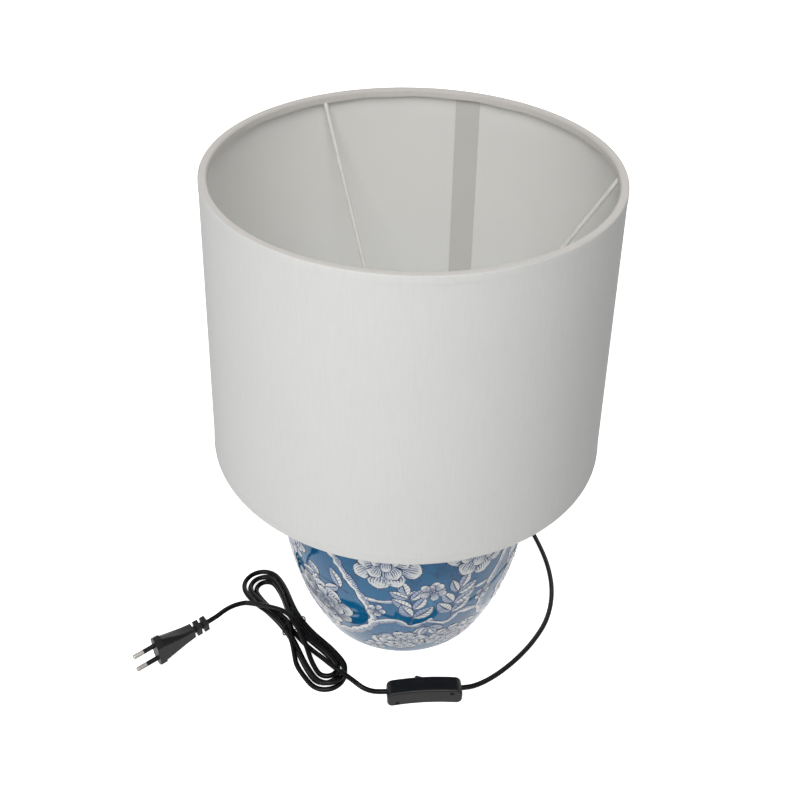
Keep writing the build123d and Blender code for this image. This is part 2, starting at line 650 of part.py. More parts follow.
def switch_cores():
    """Lengths of core inside the switch: one straight through, one cut at the contacts."""
    pieces = []
    sheath_end = 24.5
    for side in (-1, 1):
        sheath = Pos(side * sheath_end, 0, 0) * Rot(0, side * 90, 0) * Cylinder(
            CORD / 2, SWITCH_LENGTH / 2 - sheath_end, align=(Align.CENTER, Align.CENTER, Align.MIN))
        live = Pos(side * 17.0, -1.05, -0.4) * Rot(0, side * 90, 0) * Cylinder(
            CORE_RADIUS, sheath_end - 17.0, align=(Align.CENTER, Align.CENTER, Align.MIN))
        pieces += [sheath, live]
    through = FilletPolyline(
        (-sheath_end, 1.05, 0), (-20, 1.05, 0), (-14, 3.0, -4.0), (14, 3.0, -4.0), (20, 1.05, 0),
        (sheath_end, 1.05, 0), radius=2.4)
    section = Plane((-sheath_end, 1.05, 0), z_dir=(1, 0, 0)) * Circle(CORE_RADIUS)
    pieces.append(sweep(section, path=through))
    return Compound(pieces)


def switch_case():
    """Cover and base, which part along the lead's axis at the ends."""
    inside = SWITCH_LENGTH - 2 * SWITCH_WALL
    inside_width = SWITCH_WIDTH - 2 * SWITCH_WALL
    cover = bent_bar(SWITCH_LENGTH, SWITCH_WIDTH, SWITCH_SPLIT, SWITCH_TOP, SWITCH_CORNER)
    cover = fillet(cover.faces().sort_by(Axis.Z)[-1].edges(), 2.2)
    cover -= bent_bar(inside, inside_width, SWITCH_SPLIT - 1, SWITCH_TOP - SWITCH_WALL, 3.0)
    base = bent_bar(SWITCH_LENGTH, SWITCH_WIDTH, SWITCH_FOOT, SWITCH_SPLIT, SWITCH_CORNER)
    base = fillet(base.faces().sort_by(Axis.Z)[0].edges(), 1.8)
    base -= bent_bar(inside, inside_width, SWITCH_FOOT + SWITCH_WALL, SWITCH_SPLIT + 1, 3.0)
    for x, y in SWITCH_SCREWS:
        post = Pos(x, y, 0) * Cylinder(2.3, 4 * SWITCH_WIDTH)
        cover += post & bent_bar(inside, inside_width + 1, SWITCH_SPLIT, SWITCH_TOP - 0.8, 3.0)
        base += post & bent_bar(inside, inside_width + 1, SWITCH_FOOT + 0.8, SWITCH_SPLIT, 3.0)
        cover -= Pos(x, y, 1.5) * Cylinder(1.05, 6)
        base -= Pos(x, y, -3) * Cylinder(1.15, 20)
        base -= Pos(x, y, -9.0) * Cylinder(1.8, 3.4)
    for side in (-1, 1):
        cheek = Pos(0, side * 5.325, 3.4) * Box(4.4, 2.05, 5.8)
        cover += cheek
        entry = Pos(side * SWITCH_LENGTH / 2, 0, 0) * Rot(0, 90, 0) * Cylinder(CORD / 2 + 0.05, 12)
        cover -= entry
        base -= entry
        base += Pos(side * 15.0, CONTACT_Y, -4.6) * Box(5.0, 4.0, 4.2)
    cover -= Pos(0, 0, SWITCH_TOP) * Box(2 * ROCKER_HALF_LENGTH + 2.2, ROCKER_WIDTH + 0.6, 6)
    cover -= Pos(0, 0, ROCKER_PIN_Z) * Rot(90, 0, 0) * Cylinder(ROCKER_PIN, 13.4)
    keep("switch_cover", lay_switch(cover))
    keep("switch_base", lay_switch(base))


def switch_contacts():
    """The two fixed contacts on their posts, their terminal screws and the case screws."""
    contacts = []
    screws = []
    for side in (-1, 1):
        strip = Pos(side * 9.5, CONTACT_Y, -2.25) * Box(10, 2.8, 0.5)
        block = Pos(side * 15.0, CONTACT_Y, -0.6) * Box(4.0, 4.0, 3.8)
        entry = Pos(side * 17.0, -1.05, -0.4) * Rot(0, 90, 0) * Cylinder(CORE_RADIUS + 0.05, 2.0)
        tapped = Pos(side * 14.4, CONTACT_Y - 0.7, 0.6) * Cylinder(0.85, 1.6)
        contacts.append(strip + block - entry - tapped)
        shank = Pos(side * 14.4, CONTACT_Y - 0.7, 0.85) * Cylinder(0.8, 1.1)
        head = Pos(side * 14.4, CONTACT_Y - 0.7, 1.85) * Cylinder(1.2, 0.9)
        screws.append(head + shank - Pos(side * 14.4, CONTACT_Y - 0.7, 2.2) * Box(3, 0.4, 0.5))
    keep("switch_contacts", lay_switch(Compound(contacts)))
    keep("switch_terminal_screws", lay_switch(Compound(screws)))
    case_screws = []
    for x, y in SWITCH_SCREWS:
        head = Pos(x, y, -7.95) * Cylinder(1.7, 1.2)
        slot = Pos(x, y, -8.5) * Box(4, 0.5, 0.6)
        shank = Pos(x, y, -2.7) * Cylinder(1.0, 10.0)
        case_screws.append(head + shank - slot)
    keep("switch_case_screws", lay_switch(Compound(case_screws)))


def tilt_rocker(shape):
    """Tilt a rocker piece about its pin to the position in which the lamp is off."""
    return Pos(0, 0, ROCKER_PIN_Z) * Rot(0, ROCKER_TILT, 0) * shape


def switch_rocker():
    """The rocker on its pin, with the bridging contact under it."""
    half = ROCKER_HALF_LENGTH
    side = Curve() + [
        Line((-half, 0, 2.6), (-half, 0, ROCKER_END)),
        ThreePointArc((-half, 0, ROCKER_END), (0, 0, ROCKER_DIP), (half, 0, ROCKER_END)),
        Line((half, 0, ROCKER_END), (half, 0, 2.6)),
        Line((half, 0, 2.6), (2.3, 0, 1.6)),
        Line((2.3, 0, 1.6), (2.3, 0, -3.0)),
        Line((2.3, 0, -3.0), (-2.3, 0, -3.0)),
        Line((-2.3, 0, -3.0), (-2.3, 0, 1.6)),
        Line((-2.3, 0, 1.6), (-half, 0, 2.6)),
    ]
    rocker = extrude(make_face(side), ROCKER_WIDTH / 2, both=True)
    rocker -= Rot(90, 0, 0) * Cylinder(ROCKER_PIN + 0.06, ROCKER_WIDTH + 2)
    ends = rocker.edges().filter_by(Axis.Y).filter_by_position(Axis.Z, ROCKER_END - 0.2, ROCKER_END + 0.2)
    rocker = fillet(ends, 1.6)
    keep("switch_rocker", lay_switch(tilt_rocker(rocker)))
    bridge = Pos(0, CONTACT_Y, -3.25) * Box(13.0, 2.4, 0.5)
    keep("contact_bridge", lay_switch(tilt_rocker(bridge)))
    pin = Pos(0, 0, ROCKER_PIN_Z) * Rot(90, 0, 0) * Cylinder(ROCKER_PIN, 12.6)
    keep("rocker_pin", lay_switch(pin))


# ---------------------------------------------------------------- plug
PLUG_PLATE = 5.8
PLUG_FLAT = 11.0
PLUG_TIP = 3.0
PLUG_LENGTH = 48.0
PIN_RADIUS = 2.0
SLEEVE_LENGTH = 10.0


def lay_plug(shape):
    """Stand a plug piece on its edge; it is drawn with pins along X and its width along Y."""
    return (Pos(*PLUG_FACE) * Rot(0, 0, PLUG_AZIMUTH) * Rot(0, PLUG_PITCH, 0)
            * Rot(PLUG_ROLL, 0, 0) * shape)


def plug_section(back, half_width, flat, half_thickness, tip):
    """An eight-sided section of the plug's body at a distance behind its face."""
    corners = [(-flat, half_thickness), (flat, half_thickness), (half_width, tip), (half_width, -tip),
               (flat, -half_thickness), (-flat, -half_thickness), (-half_width, -tip), (-half_width, tip)]
    return Plane((-back, 0, 0), x_dir=(0, 1, 0), z_dir=(-1, 0, 0)) * Polygon(*corners, align=None)


# distance behind the face, half width, half of the flat, half thickness, half of the narrow edge
PLUG_WAIST = (
    (PLUG_PLATE, 15.0, 10.2, 6.2, 1.6),
    (11.5, 12.3, 8.6, 6.0, 1.8),
    (18.0, 9.4, 7.0, 5.7, 2.4),
    (25.0, 7.2, 5.6, 5.2, 3.0),
    (34.5, 5.3, 4.4, 4.6, 3.4),
)
RIB_STARTS = (36.6, 43.2)
RIB_THICKNESS = 4.3
RIB_WIDTH = 10.8
RIB_HEIGHT = 9.8
NECK_HALF = 3.1


def along_x(start, radius, length, y=0.0):
    """A round bar that runs forwards along X from start."""
    return Pos(start, y, 0) * Rot(0, 90, 0) * Cylinder(
        radius, length, align=(Align.CENTER, Align.CENTER, Align.MIN))


def plug_moulding():
    """The plug's moulding: hexagonal plate, waisted body, neck and two ribs, bored for the lead."""
    plate = plug_section(0, PLUG_WIDTH / 2, PLUG_FLAT, PLUG_THICKNESS / 2, PLUG_TIP / 2)
    body = extrude(plate, PLUG_PLATE, dir=(-1, 0, 0))
    body += loft([plug_section(*row) for row in PLUG_WAIST], ruled=True)
    body += along_x(-PLUG_LENGTH, NECK_HALF, PLUG_LENGTH - 30)
    for back in RIB_STARTS:
        rib = Plane((-back, 0, 0), x_dir=(0, 1, 0), z_dir=(-1, 0, 0)) * RectangleRounded(RIB_WIDTH, RIB_HEIGHT, 1.4)
        body += extrude(rib, RIB_THICKNESS, dir=(-1, 0, 0))
    return body - along_x(-PLUG_LENGTH, CORD / 2 + 0.05, LEAD_IN_PLUG)


LEAD_IN_PLUG = 9.0
PIN_ROOT = 9.0
PIN_CORE = 1.6


def plug():
    """The plug, its two pins, their sleeves and the end of the lead in its neck."""
    body = plug_moulding()
    pins = []
    sleeves = []
    for side in (-1, 1):
        y = side * PIN_PITCH / 2
        body -= along_x(-PIN_ROOT, PIN_CORE, PIN_ROOT, y)
        tip = along_x(SLEEVE_LENGTH, PIN_RADIUS, PIN_LENGTH - SLEEVE_LENGTH, y)
        tip = fillet(tip.edges().filter_by_position(Axis.X, PIN_LENGTH - 0.1, PIN_LENGTH + 0.1), 1.4)
        pins.append(along_x(-PIN_ROOT, PIN_CORE, PIN_ROOT + SLEEVE_LENGTH, y) + tip)
        sleeves.append(along_x(0, PIN_RADIUS, SLEEVE_LENGTH, y) - along_x(0, PIN_CORE, SLEEVE_LENGTH, y))
    keep("plug_body", lay_plug(body))
    keep("plug_cord_end", lay_plug(along_x(-PLUG_LENGTH, CORD / 2, LEAD_IN_PLUG)))
    keep("plug_pins", lay_plug(Compound(pins)))
    keep("plug_pin_sleeves", lay_plug(Compound(sleeves)))


def leads():
    """The lead inside the lamp and its free stretches, with the bush and the stop."""
    keep("cord_bush", grommet())
    keep("inner_lead", inner_lead())
    keep("cord_stop", cord_stop())
    total = cord_tube("lamp_lead", LAMP_LEAD_ROUTE) + SWITCH_LENGTH
    total += cord_tube("switch_lead", SWITCH_LEAD_ROUTE) + cord_hank()
    total += cord_tube("plug_lead", PLUG_LEAD_ROUTE)
    print("lead from the lamp to the plug", round(total))


def main():
    """Build every sub-part and write one file for each."""
    keep("jar_body", jar_body())
    jar_fixing()
    lampholder()
    shade()
    leads()
    hank_tie()
    switch_case()
    switch_contacts()
    keep("switch_cores", lay_switch(switch_cores()))
    switch_rocker()
    plug()
    os.makedirs("parts", exist_ok=True)
    for name, shape in PARTS.items():
        shape.label = name
        export_step(shape, "parts/%s.step" % name)


main()
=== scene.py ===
"""The ginger jar lamp, dressed for the studio.

Metres, +Z up, in the frame of the part: the origin is on the floor under the axis of the jar,
and +Y points to the back, where the lead leaves the foot. Layouts on the jar are in millimetres.
"""
import logging
import math
import random
from dataclasses import dataclass
from enum import Enum
from typing import Any, Callable, NamedTuple, Optional, Sequence, Union

import bmesh
import bpy
from mathutils import Matrix, Vector


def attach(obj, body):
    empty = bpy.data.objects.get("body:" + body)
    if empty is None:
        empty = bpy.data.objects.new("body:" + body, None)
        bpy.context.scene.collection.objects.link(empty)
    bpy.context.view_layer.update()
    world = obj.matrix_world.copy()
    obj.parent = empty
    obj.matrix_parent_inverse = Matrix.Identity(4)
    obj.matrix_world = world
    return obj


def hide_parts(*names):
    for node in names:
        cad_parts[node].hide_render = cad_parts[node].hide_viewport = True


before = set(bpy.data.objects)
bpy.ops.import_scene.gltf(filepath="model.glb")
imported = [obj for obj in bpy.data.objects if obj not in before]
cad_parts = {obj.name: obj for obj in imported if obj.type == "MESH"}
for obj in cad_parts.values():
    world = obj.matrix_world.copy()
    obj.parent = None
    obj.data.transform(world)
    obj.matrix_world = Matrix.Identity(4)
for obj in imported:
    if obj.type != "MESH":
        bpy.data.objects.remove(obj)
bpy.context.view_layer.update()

LOG = logging.getLogger("ginger_jar_lamp")
MM = 0.001
LAMP = "lamp"
SHADE = "shade"
SAME_PLACE = 1e-7

Colour = tuple[float, float, float, float]
Point = tuple[float, float, float]
Spot = tuple[float, float]
Spine = Callable[[float], Spot]

WHITE: Colour = (1.0, 1.0, 1.0, 1.0)


def paint(red: int, green: int, blue: int) -> Colour:
    """Turn a colour as a screen shows it into a shader's linear colour.

    Args:
        red: 0 to 255.
        green: 0 to 255.
        blue: 0 to 255.

    Returns:
        Linear red, green, blue and an alpha of 1.
    """
    def linear(level: int) -> float:
        """Undo the screen's curve for one channel."""
        share = level / 255
        return share / 12.92 if share <= 0.04045 else ((share + 0.055) / 1.055) ** 2.4
    return (linear(red), linear(green), linear(blue), 1.0)


def shaded(colour: Colour, factor: float, lift: float = 0.0) -> Colour:
    """Make a colour lighter or darker.

    Args:
        colour: The colour.
        factor: What its channels are multiplied by.
        lift: What is added to them then; none ends above 1.

    Returns:
        The new colour.
    """
    red, green, blue = (min(1.0, channel * factor + lift) for channel in colour[:3])
    return (red, green, blue, 1.0)


# ------------------------------------------------------------------------- shader maths
class Signal:
    """One output socket of a recipe, on which Python's operators add Math nodes."""

    def __init__(self, recipe: "Recipe", socket: bpy.types.NodeSocket) -> None:
        """Wrap a socket of a recipe's tree."""
        self.recipe = recipe
        self.socket = socket

    def maths(self, operation: str, *terms: "Term") -> "Signal":
        """Add one Math node.

        Args:
            operation: The Math node's operation.
            terms: Its inputs in order, as numbers or signals.

        Returns:
            The value of the node.
        """
        return self.recipe.signal("ShaderNodeMath", {"operation": operation}, dict(enumerate(terms)))

    def __add__(self, other: "Term") -> "Signal":
        """Add."""
        return self.maths("ADD", self, other)

    __radd__ = __add__

    def __sub__(self, other: "Term") -> "Signal":
        """Subtract."""
        return self.maths("SUBTRACT", self, other)

    def __rsub__(self, other: "Term") -> "Signal":
        """Subtract from a number."""
        return self.maths("SUBTRACT", other, self)

    def __mul__(self, other: "Term") -> "Signal":
        """Multiply."""
        return self.maths("MULTIPLY", self, other)

    __rmul__ = __mul__

    def __abs__(self) -> "Signal":
        """Drop the sign."""
        return self.maths("ABSOLUTE", self)

    def sine(self) -> "Signal":
        """The sine of this angle."""
        return self.maths("SINE", self)

    def either(self, other: "Term") -> "Signal":
        """The larger of two masks."""
        return self.maths("MAXIMUM", self, other)

    def rising(self, low: float, high: float) -> "Signal":
        """A smooth step from 0 to 1.

        Args:
            low: Where the step starts.
            high: Where it ends; lower than low for a falling step.

        Returns:
            The step.
        """
        settings = {"interpolation_type": "SMOOTHSTEP"}
        if low < high:
            return self.recipe.signal("ShaderNodeMapRange", settings, {0: self, 1: low, 2: high})
        return 1.0 - self.recipe.signal("ShaderNodeMapRange", settings, {0: self, 1: high, 2: low})


Term = Union[Signal, float]


class Recipe:
    """The node tree of one material, or of the world."""

    def __init__(self, name: str, owner: Optional[bpy.types.ID] = None) -> None:
        """Start an empty tree.

        Args:
            name: The new material's name.
            owner: What the tree is for, or None for a new material.
        """
        self.owner = owner or bpy.data.materials.new(name)
        self.owner.use_nodes = True
        self.tree = self.owner.node_tree
        self.tree.nodes.clear()

    def node(self, kind: str, settings: Optional[dict[str, Any]] = None,
             sockets: Optional[dict[Any, Any]] = None) -> bpy.types.Node:
        """Add a node.

        Args:
            kind: The node's type.
            settings: Its properties, set first; stops are a ramp's places and colours.
            sockets: Values or signals for its inputs, by name or number.

        Returns:
            The node.
        """
        node = self.tree.nodes.new(kind)
        for key, value in (settings or {}).items():
            if key == "stops":
                self._set_stops(node, value)
            else:
                setattr(node, key, value)
        for key, value in (sockets or {}).items():
            if isinstance(value, Signal):
                self.tree.links.new(value.socket, node.inputs[key])
            else:
                node.inputs[key].default_value = value
        return node

    @staticmethod
    def _set_stops(node: bpy.types.Node, stops: Sequence[tuple[float, Colour]]) -> None:
        """Give a colour ramp its stops, in order."""
        elements = node.color_ramp.elements
        while len(elements) < len(stops):
            elements.new(1.0)
        for element, (place, colour) in zip(elements, stops):
            element.position = place
            element.color = colour

    def signal(self, kind: str, settings: Optional[dict[str, Any]] = None,
               sockets: Optional[dict[Any, Any]] = None, output: Any = 0) -> Signal:
        """Add a node and take one of its outputs.

        Args:
            kind: The node's type.
            settings: Its properties.
            sockets: Values or signals for its inputs.
            output: The output's name or number.

        Returns:
            The output.
        """
        return Signal(self, self.node(kind, settings, sockets).outputs[output])

    def place(self) -> Signal:
        """Object coordinates, which are the part's own metres."""
        return self.signal("ShaderNodeTexCoord", output="Object")

    def axes(self, vector: Signal) -> tuple[Signal, Signal, Signal]:
        """The three numbers of a vector."""
        parts = self.node("ShaderNodeSeparateXYZ", sockets={0: vector}).outputs
        return Signal(self, parts[0]), Signal(self, parts[1]), Signal(self, parts[2])

    def attribute(self, name: str) -> Signal:
        """A number that the mesh carries at its points."""
        return self.signal("ShaderNodeAttribute", {"attribute_name": name}, output="Fac")

    def noise(self, scale: float, detail: float = 2.0, stretch: Optional[Point] = None) -> Signal:
        """Smooth noise between 0 and 1, read at the part's own places.

        Args:
            scale: Waves per metre.
            detail: Octaves.
            stretch: Factors for the three axes.

        Returns:
            The noise.
        """
        vector = self.place()
        if stretch:
            vector = self.signal("ShaderNodeMapping", sockets={0: vector, "Scale": stretch})
        return self.signal("ShaderNodeTexNoise", sockets={"Vector": vector, "Scale": scale, "Detail": detail})

    def mix(self, under: Union[Signal, Colour], over: Union[Signal, Colour], share: Term) -> Signal:
        """Lay one colour over another.

        Args:
            under: The colour at a share of 0.
            over: The colour at a share of 1.
            share: The mask.

        Returns:
            The mixed colour.
        """
        return self.signal("ShaderNodeMix", {"data_type": "RGBA"}, {0: share, 6: under, 7: over}, output=2)

    def bump(self, height: Signal, distance: float) -> Signal:
        """A normal from a height.

        Args:
            height: The height, of which 1 is the distance.
            distance: Metres.

        Returns:
            The normal.
        """
        sockets = {"Height": height, "Distance": distance}
        return self.signal("ShaderNodeBump", sockets=sockets, output="Normal")

    def rays(self, *kinds: str) -> Signal:
        """1 for rays of any of these kinds, else 0.

        Args:
            kinds: Names of kinds, such as Camera.

        Returns:
            The mask.
        """
        outputs = self.node("ShaderNodeLightPath").outputs
        mask, *others = (Signal(self, outputs[f"Is {kind} Ray"]) for kind in kinds)
        for other in others:
            mask = mask.either(other)
        return mask

    def emission(self, strength: float) -> Signal:
        """White light of a strength."""
        return self.signal("ShaderNodeEmission", sockets={"Color": WHITE, "Strength": strength})

    def blend(self, share: Signal, under: Signal, over: Signal) -> Signal:
        """Mix two shaders by a mask."""
        return self.signal("ShaderNodeMixShader", sockets={0: share, 1: under, 2: over})

    def finish(self, **sockets: Any) -> bpy.types.Material:
        """End the recipe in a Principled surface.

        Args:
            sockets: Its inputs, with underscores for spaces.

        Returns:
            The material.
        """
        named = {key.replace("_", " "): value for key, value in sockets.items()}
        surface = self.signal("ShaderNodeBsdfPrincipled", sockets=named)
        self.node("ShaderNodeOutputMaterial", sockets={"Surface": surface})
        return self.owner


# ------------------------------------------------------------------------- finishes
@dataclass(frozen=True)
class Moulded:
    """Moulded plastic, rubber or fired clay with a fine grain and slightly uneven gloss."""

    name: str
    colour: Colour
    rough: float = 0.4
    grain: float = 0.03 * MM
    grain_scale: float = 1400.0
    patch_scale: float = 60.0
    mottle: float = 0.06
    coat: float = 0.0
    shine: float = 0.5

    def make(self) -> bpy.types.Material:
        """Build the material."""
        recipe = Recipe(self.name)
        grain = recipe.noise(self.grain_scale, 3.0)
        patches = recipe.noise(self.patch_scale, 3.0)
        darker = shaded(self.colour, 1 - 4 * self.mottle)
        lighter = shaded(self.colour, 1 + 2 * self.mottle, lift=0.002)
        return recipe.finish(
            Base_Color=recipe.mix(darker, lighter, patches * 0.7 + grain * 0.3),
            Roughness=self.rough + (patches - 0.5) * 0.12 + (grain - 0.5) * 0.1,
            Coat_Weight=self.coat,
            Specular_IOR_Level=self.shine,
            Normal=recipe.bump(grain, self.grain),
        )


@dataclass(frozen=True)
class Metal:
    """Drawn or plated metal with fine streaks round its axis and duller patches."""

    name: str
    colour: Colour
    rough: float = 0.25
    streaks: Point = (900.0, 900.0, 60.0)
    streak_depth: float = 0.01 * MM
    patch_scale: float = 90.0
    dullness: float = 0.72

    def make(self) -> bpy.types.Material:
        """Build the material."""
        recipe = Recipe(self.name)
        streak = recipe.noise(1.0, 2.0, self.streaks)
        patches = recipe.noise(self.patch_scale, 4.0)
        dull = shaded(self.colour, self.dullness)
        return recipe.finish(
            Base_Color=recipe.mix(self.colour, dull, patches.rising(0.45, 0.75)),
            Metallic=1.0,
            Roughness=self.rough + streak * 0.12 + patches * 0.1,
            Normal=recipe.bump(streak, self.streak_depth),
        )


@dataclass(frozen=True)
class Twill:
    """Fine woven cloth bonded round a cone, with a diagonal rib and painted shade in its grooves."""

    name: str
    colour: Colour
    shadow: Colour
    pitch: float = 1.25 * MM
    radius: float = 145 * MM
    slope: float = 1.0
    relief: float = 0.05 * MM
    slub_stretch: Point = (700.0, 700.0, 60.0)

    def make(self) -> bpy.types.Material:
        """Build the material."""
        recipe = Recipe(self.name)
        x, y, z = recipe.axes(recipe.place())
        around = x.maths("ARCTAN2", y, x) * self.radius
        turns = 2 * math.pi / self.pitch
        slubs = recipe.noise(1.0, 3.0, self.slub_stretch)
        wobble = (recipe.noise(420.0, 2.0) - 0.5) * 1.6
        rib = ((around + z * self.slope) * turns + wobble).sine() * 0.5 + 0.5
        yarn = (around * (turns * 2.0)).sine() * (z * (turns * 2.0)).sine() * 0.5 + 0.5
        cloth = rib * 0.6 + yarn * 0.15 + slubs * 0.3
        soil = recipe.noise(18.0, 3.0).rising(0.35, 0.8)
        # Painted shade: the weave's grooves take the darker shadow colour; the soil patches use it as dirt.
        shade = recipe.mix(self.shadow, self.colour, cloth.rising(0.05, 0.95))
        return recipe.finish(
            Base_Color=recipe.mix(shade, self.shadow, soil * 0.12),
            Roughness=0.86 - cloth * 0.08,
            Sheen_Weight=0.06,
            Normal=recipe.bump(cloth, self.relief),
        )


@dataclass(frozen=True)
class Lining:
    """Smooth plastic sheet with a faint satin waviness."""

    name: str
    colour: Colour
    waviness: float = 0.5 * MM
    dullness: float = 0.93

    def make(self) -> bpy.types.Material:
        """Build the material."""
        recipe = Recipe(self.name)
        cloud = recipe.noise(9.0, 3.0)
        fine = recipe.noise(900.0, 2.0)
        dull = shaded(self.colour, self.dullness)
        return recipe.finish(
            Base_Color=recipe.mix(dull, self.colour, cloud * 0.7 + fine * 0.3),
            Roughness=0.55 + cloud * 0.1,
            Normal=recipe.bump(cloud * 0.6 + fine * 0.02, self.waviness),
        )


@dataclass(frozen=True)
class Felt:
    """Pressed felt under the foot."""

    name: str
    colour: Colour
    pile: float = 0.15 * MM
    paleness: float = 1.7

    def make(self) -> bpy.types.Material:
        """Build the material."""
        recipe = Recipe(self.name)
        fibres = recipe.noise(1500.0, 5.0)
        clumps = recipe.noise(220.0, 3.0)
        pale = shaded(self.colour, self.paleness)
        return recipe.finish(
            Base_Color=recipe.mix(self.colour, pale, fibres.rising(0.4, 0.8)),
            Roughness=0.95,
            Sheen_Weight=0.4,
            Normal=recipe.bump(fibres + clumps, self.pile),
        )


GLAZE_ROUGH = 0.06
GLAZE_INDEX = 1.52
GLAZE_WAVES = 120.0
GLAZE_RELIEF = 0.02 * MM
INK = paint(28, 42, 96)
PORCELAIN = paint(226, 228, 226)
WASH = paint(150, 176, 208)


def glazed(recipe: Recipe, colour: Signal, grain: Signal) -> bpy.types.Material:
    """End a recipe in a clear glossy glaze over a colour.

    Args:
        recipe: The recipe.
        colour: What lies under the glaze.
        grain: Noise that varies its gloss.

    Returns:
        The material.
    """
    return recipe.finish(
        Base_Color=colour,
        Roughness=GLAZE_ROUGH + grain * 0.03,
        IOR=GLAZE_INDEX,
        Normal=recipe.bump(recipe.noise(GLAZE_WAVES, 2.0), GLAZE_RELIEF),
    )


@dataclass(frozen=True)
class Glaze:
    """The blue ground of the jar, lighter and darker in pools."""

    name: str = "blue_glaze"
    deep: Colour = paint(0, 66, 112)
    middle: Colour = paint(8, 98, 144)
    thin: Colour = paint(74, 142, 174)

    def make(self) -> bpy.types.Material:
        """Build the material."""
        recipe = Recipe(self.name)
        pools = recipe.noise(34.0, 4.0)
        specks = recipe.noise(260.0, 4.0)
        stops = [(0.30, self.deep), (0.47, self.middle), (0.56, self.middle), (0.74, self.thin)]
        ground = recipe.signal("ShaderNodeValToRGB", {"stops": stops}, {0: pools * 0.7 + specks * 0.3})
        return glazed(recipe, ground, specks)


class Motif(Enum):
    """What a printed shape on the jar stands for."""

    BLOSSOM = "blossom"
    LEAF = "leaf"
    BRANCH = "branch"


@dataclass(frozen=True)
class Marks:
    """The numbers that a printed shape's mesh carries, and the noise that shakes its lines."""

    along: Signal
    across: Signal
    run: Signal
    grain: Signal
    shaky: Signal

    def blossom(self) -> tuple[Signal, Signal]:
        """Fine lines that fan out from the petal's root, with stipple beyond them."""
        fan = (self.across * 24.0 + (self.shaky - 0.5) * 6.0).sine().rising(0.0, 0.5)
        reach = (self.along + (self.shaky - 0.5) * 0.9).rising(0.84, 0.48)
        stipple = self.grain.rising(0.60, 0.66) * (self.along + self.shaky * 0.4).rising(1.0, 0.55)
        return (fan * reach).either(stipple) * 0.85, self.along.rising(0.9, 0.1) * 0.65

    def leaf(self) -> tuple[Signal, Signal]:
        """A midrib, side veins and one half washed with hatching."""
        side = abs(self.across)
        veins = ((self.run * 1.9 - side * 4.5) + (self.shaky - 0.5) * 1.5).sine().rising(0.80, 0.95)
        hatched = (self.run * 7.5 + self.across * 4.0).sine().rising(0.1, 0.7)
        hatched = hatched * self.across.rising(0.02, 0.1)
        lines = side.rising(0.16, 0.06).either(veins * 0.8).either(hatched * 0.5)
        return lines, self.across.rising(-0.05, 0.1) * 0.75

    def branch(self) -> tuple[Signal, Signal]:
        """Bark hatching along the lower side, with knots."""
        hatch = (self.run * 5.2 + self.across * 5.0 + (self.shaky - 0.5) * 8.0).sine().rising(0.1, 0.6)
        lower = (self.across + (self.shaky - 0.5) * 1.4).rising(0.25, -0.15)
        return (hatch * lower).either(self.grain.rising(0.66, 0.70) * 0.8), lower * 0.6


@dataclass(frozen=True)
class Print:
    """Printed porcelain white with an ink outline, and hatching after the shape's kind."""

    motif: Motif

    def make(self) -> bpy.types.Material:
        """Build the material."""
        recipe = Recipe("printed_" + self.motif.value)
        marks = Marks(recipe.attribute("along"), recipe.attribute("across"), recipe.attribute("run_mm"),
                      recipe.noise(900.0, 2.0), recipe.noise(220.0, 2.0))
        outline = (recipe.attribute("rim_mm") + (marks.shaky - 0.5) * 0.5).rising(0.95, 0.72)
        pattern = {Motif.BLOSSOM: marks.blossom, Motif.LEAF: marks.leaf, Motif.BRANCH: marks.branch}
        lines, wash = pattern[self.motif]()
        tinted = recipe.mix(PORCELAIN, WASH, wash)
        return glazed(recipe, recipe.mix(tinted, INK, outline.either(lines)), marks.grain)


# ------------------------------------------------------------------------- making meshes
@dataclass(frozen=True)
class Tag:
    """A piece's name, its material slot, the CAD nodes that it stands for, and the body that
    it rides on."""

    name: str
    slot: str
    replaced: tuple[str, ...] = ()
    body: str = LAMP

    def attach(self, data: Union[bpy.types.Mesh, bpy.types.Curve],
               *materials: bpy.types.Material) -> bpy.types.Object:
        """Args:
            data: Its mesh or curve.
            materials: Its materials.

        Returns:
            The piece.
        """
        for material in materials:
            data.materials.append(material)
        piece = bpy.data.objects.new(self.name, data)
        bpy.context.scene.collection.objects.link(piece)
        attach(piece, self.body)
        if self.replaced:
            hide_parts(*self.replaced)
        LOG.info("%s rides on %s", self.name, self.body)
        return piece


def publish(bm: bmesh.types.BMesh, tag: Tag, *materials: bpy.types.Material,
            sharp: float = 35.0) -> bpy.types.Object:
    """Make a finished piece from a mesh in work.

    Args:
        bm: The mesh, in the part's metres; it is freed.
        tag: Its name, slot, replaced nodes and body.
        materials: Its materials.
        sharp: Edges sharper than this stay sharp, in degrees.

    Returns:
        The piece.
    """
    mesh = bpy.data.meshes.new(tag.name)
    bm.to_mesh(mesh)
    bm.free()
    mesh.shade_smooth()
    mesh.set_sharp_from_angle(angle=math.radians(sharp))
    return tag.attach(mesh, *materials)


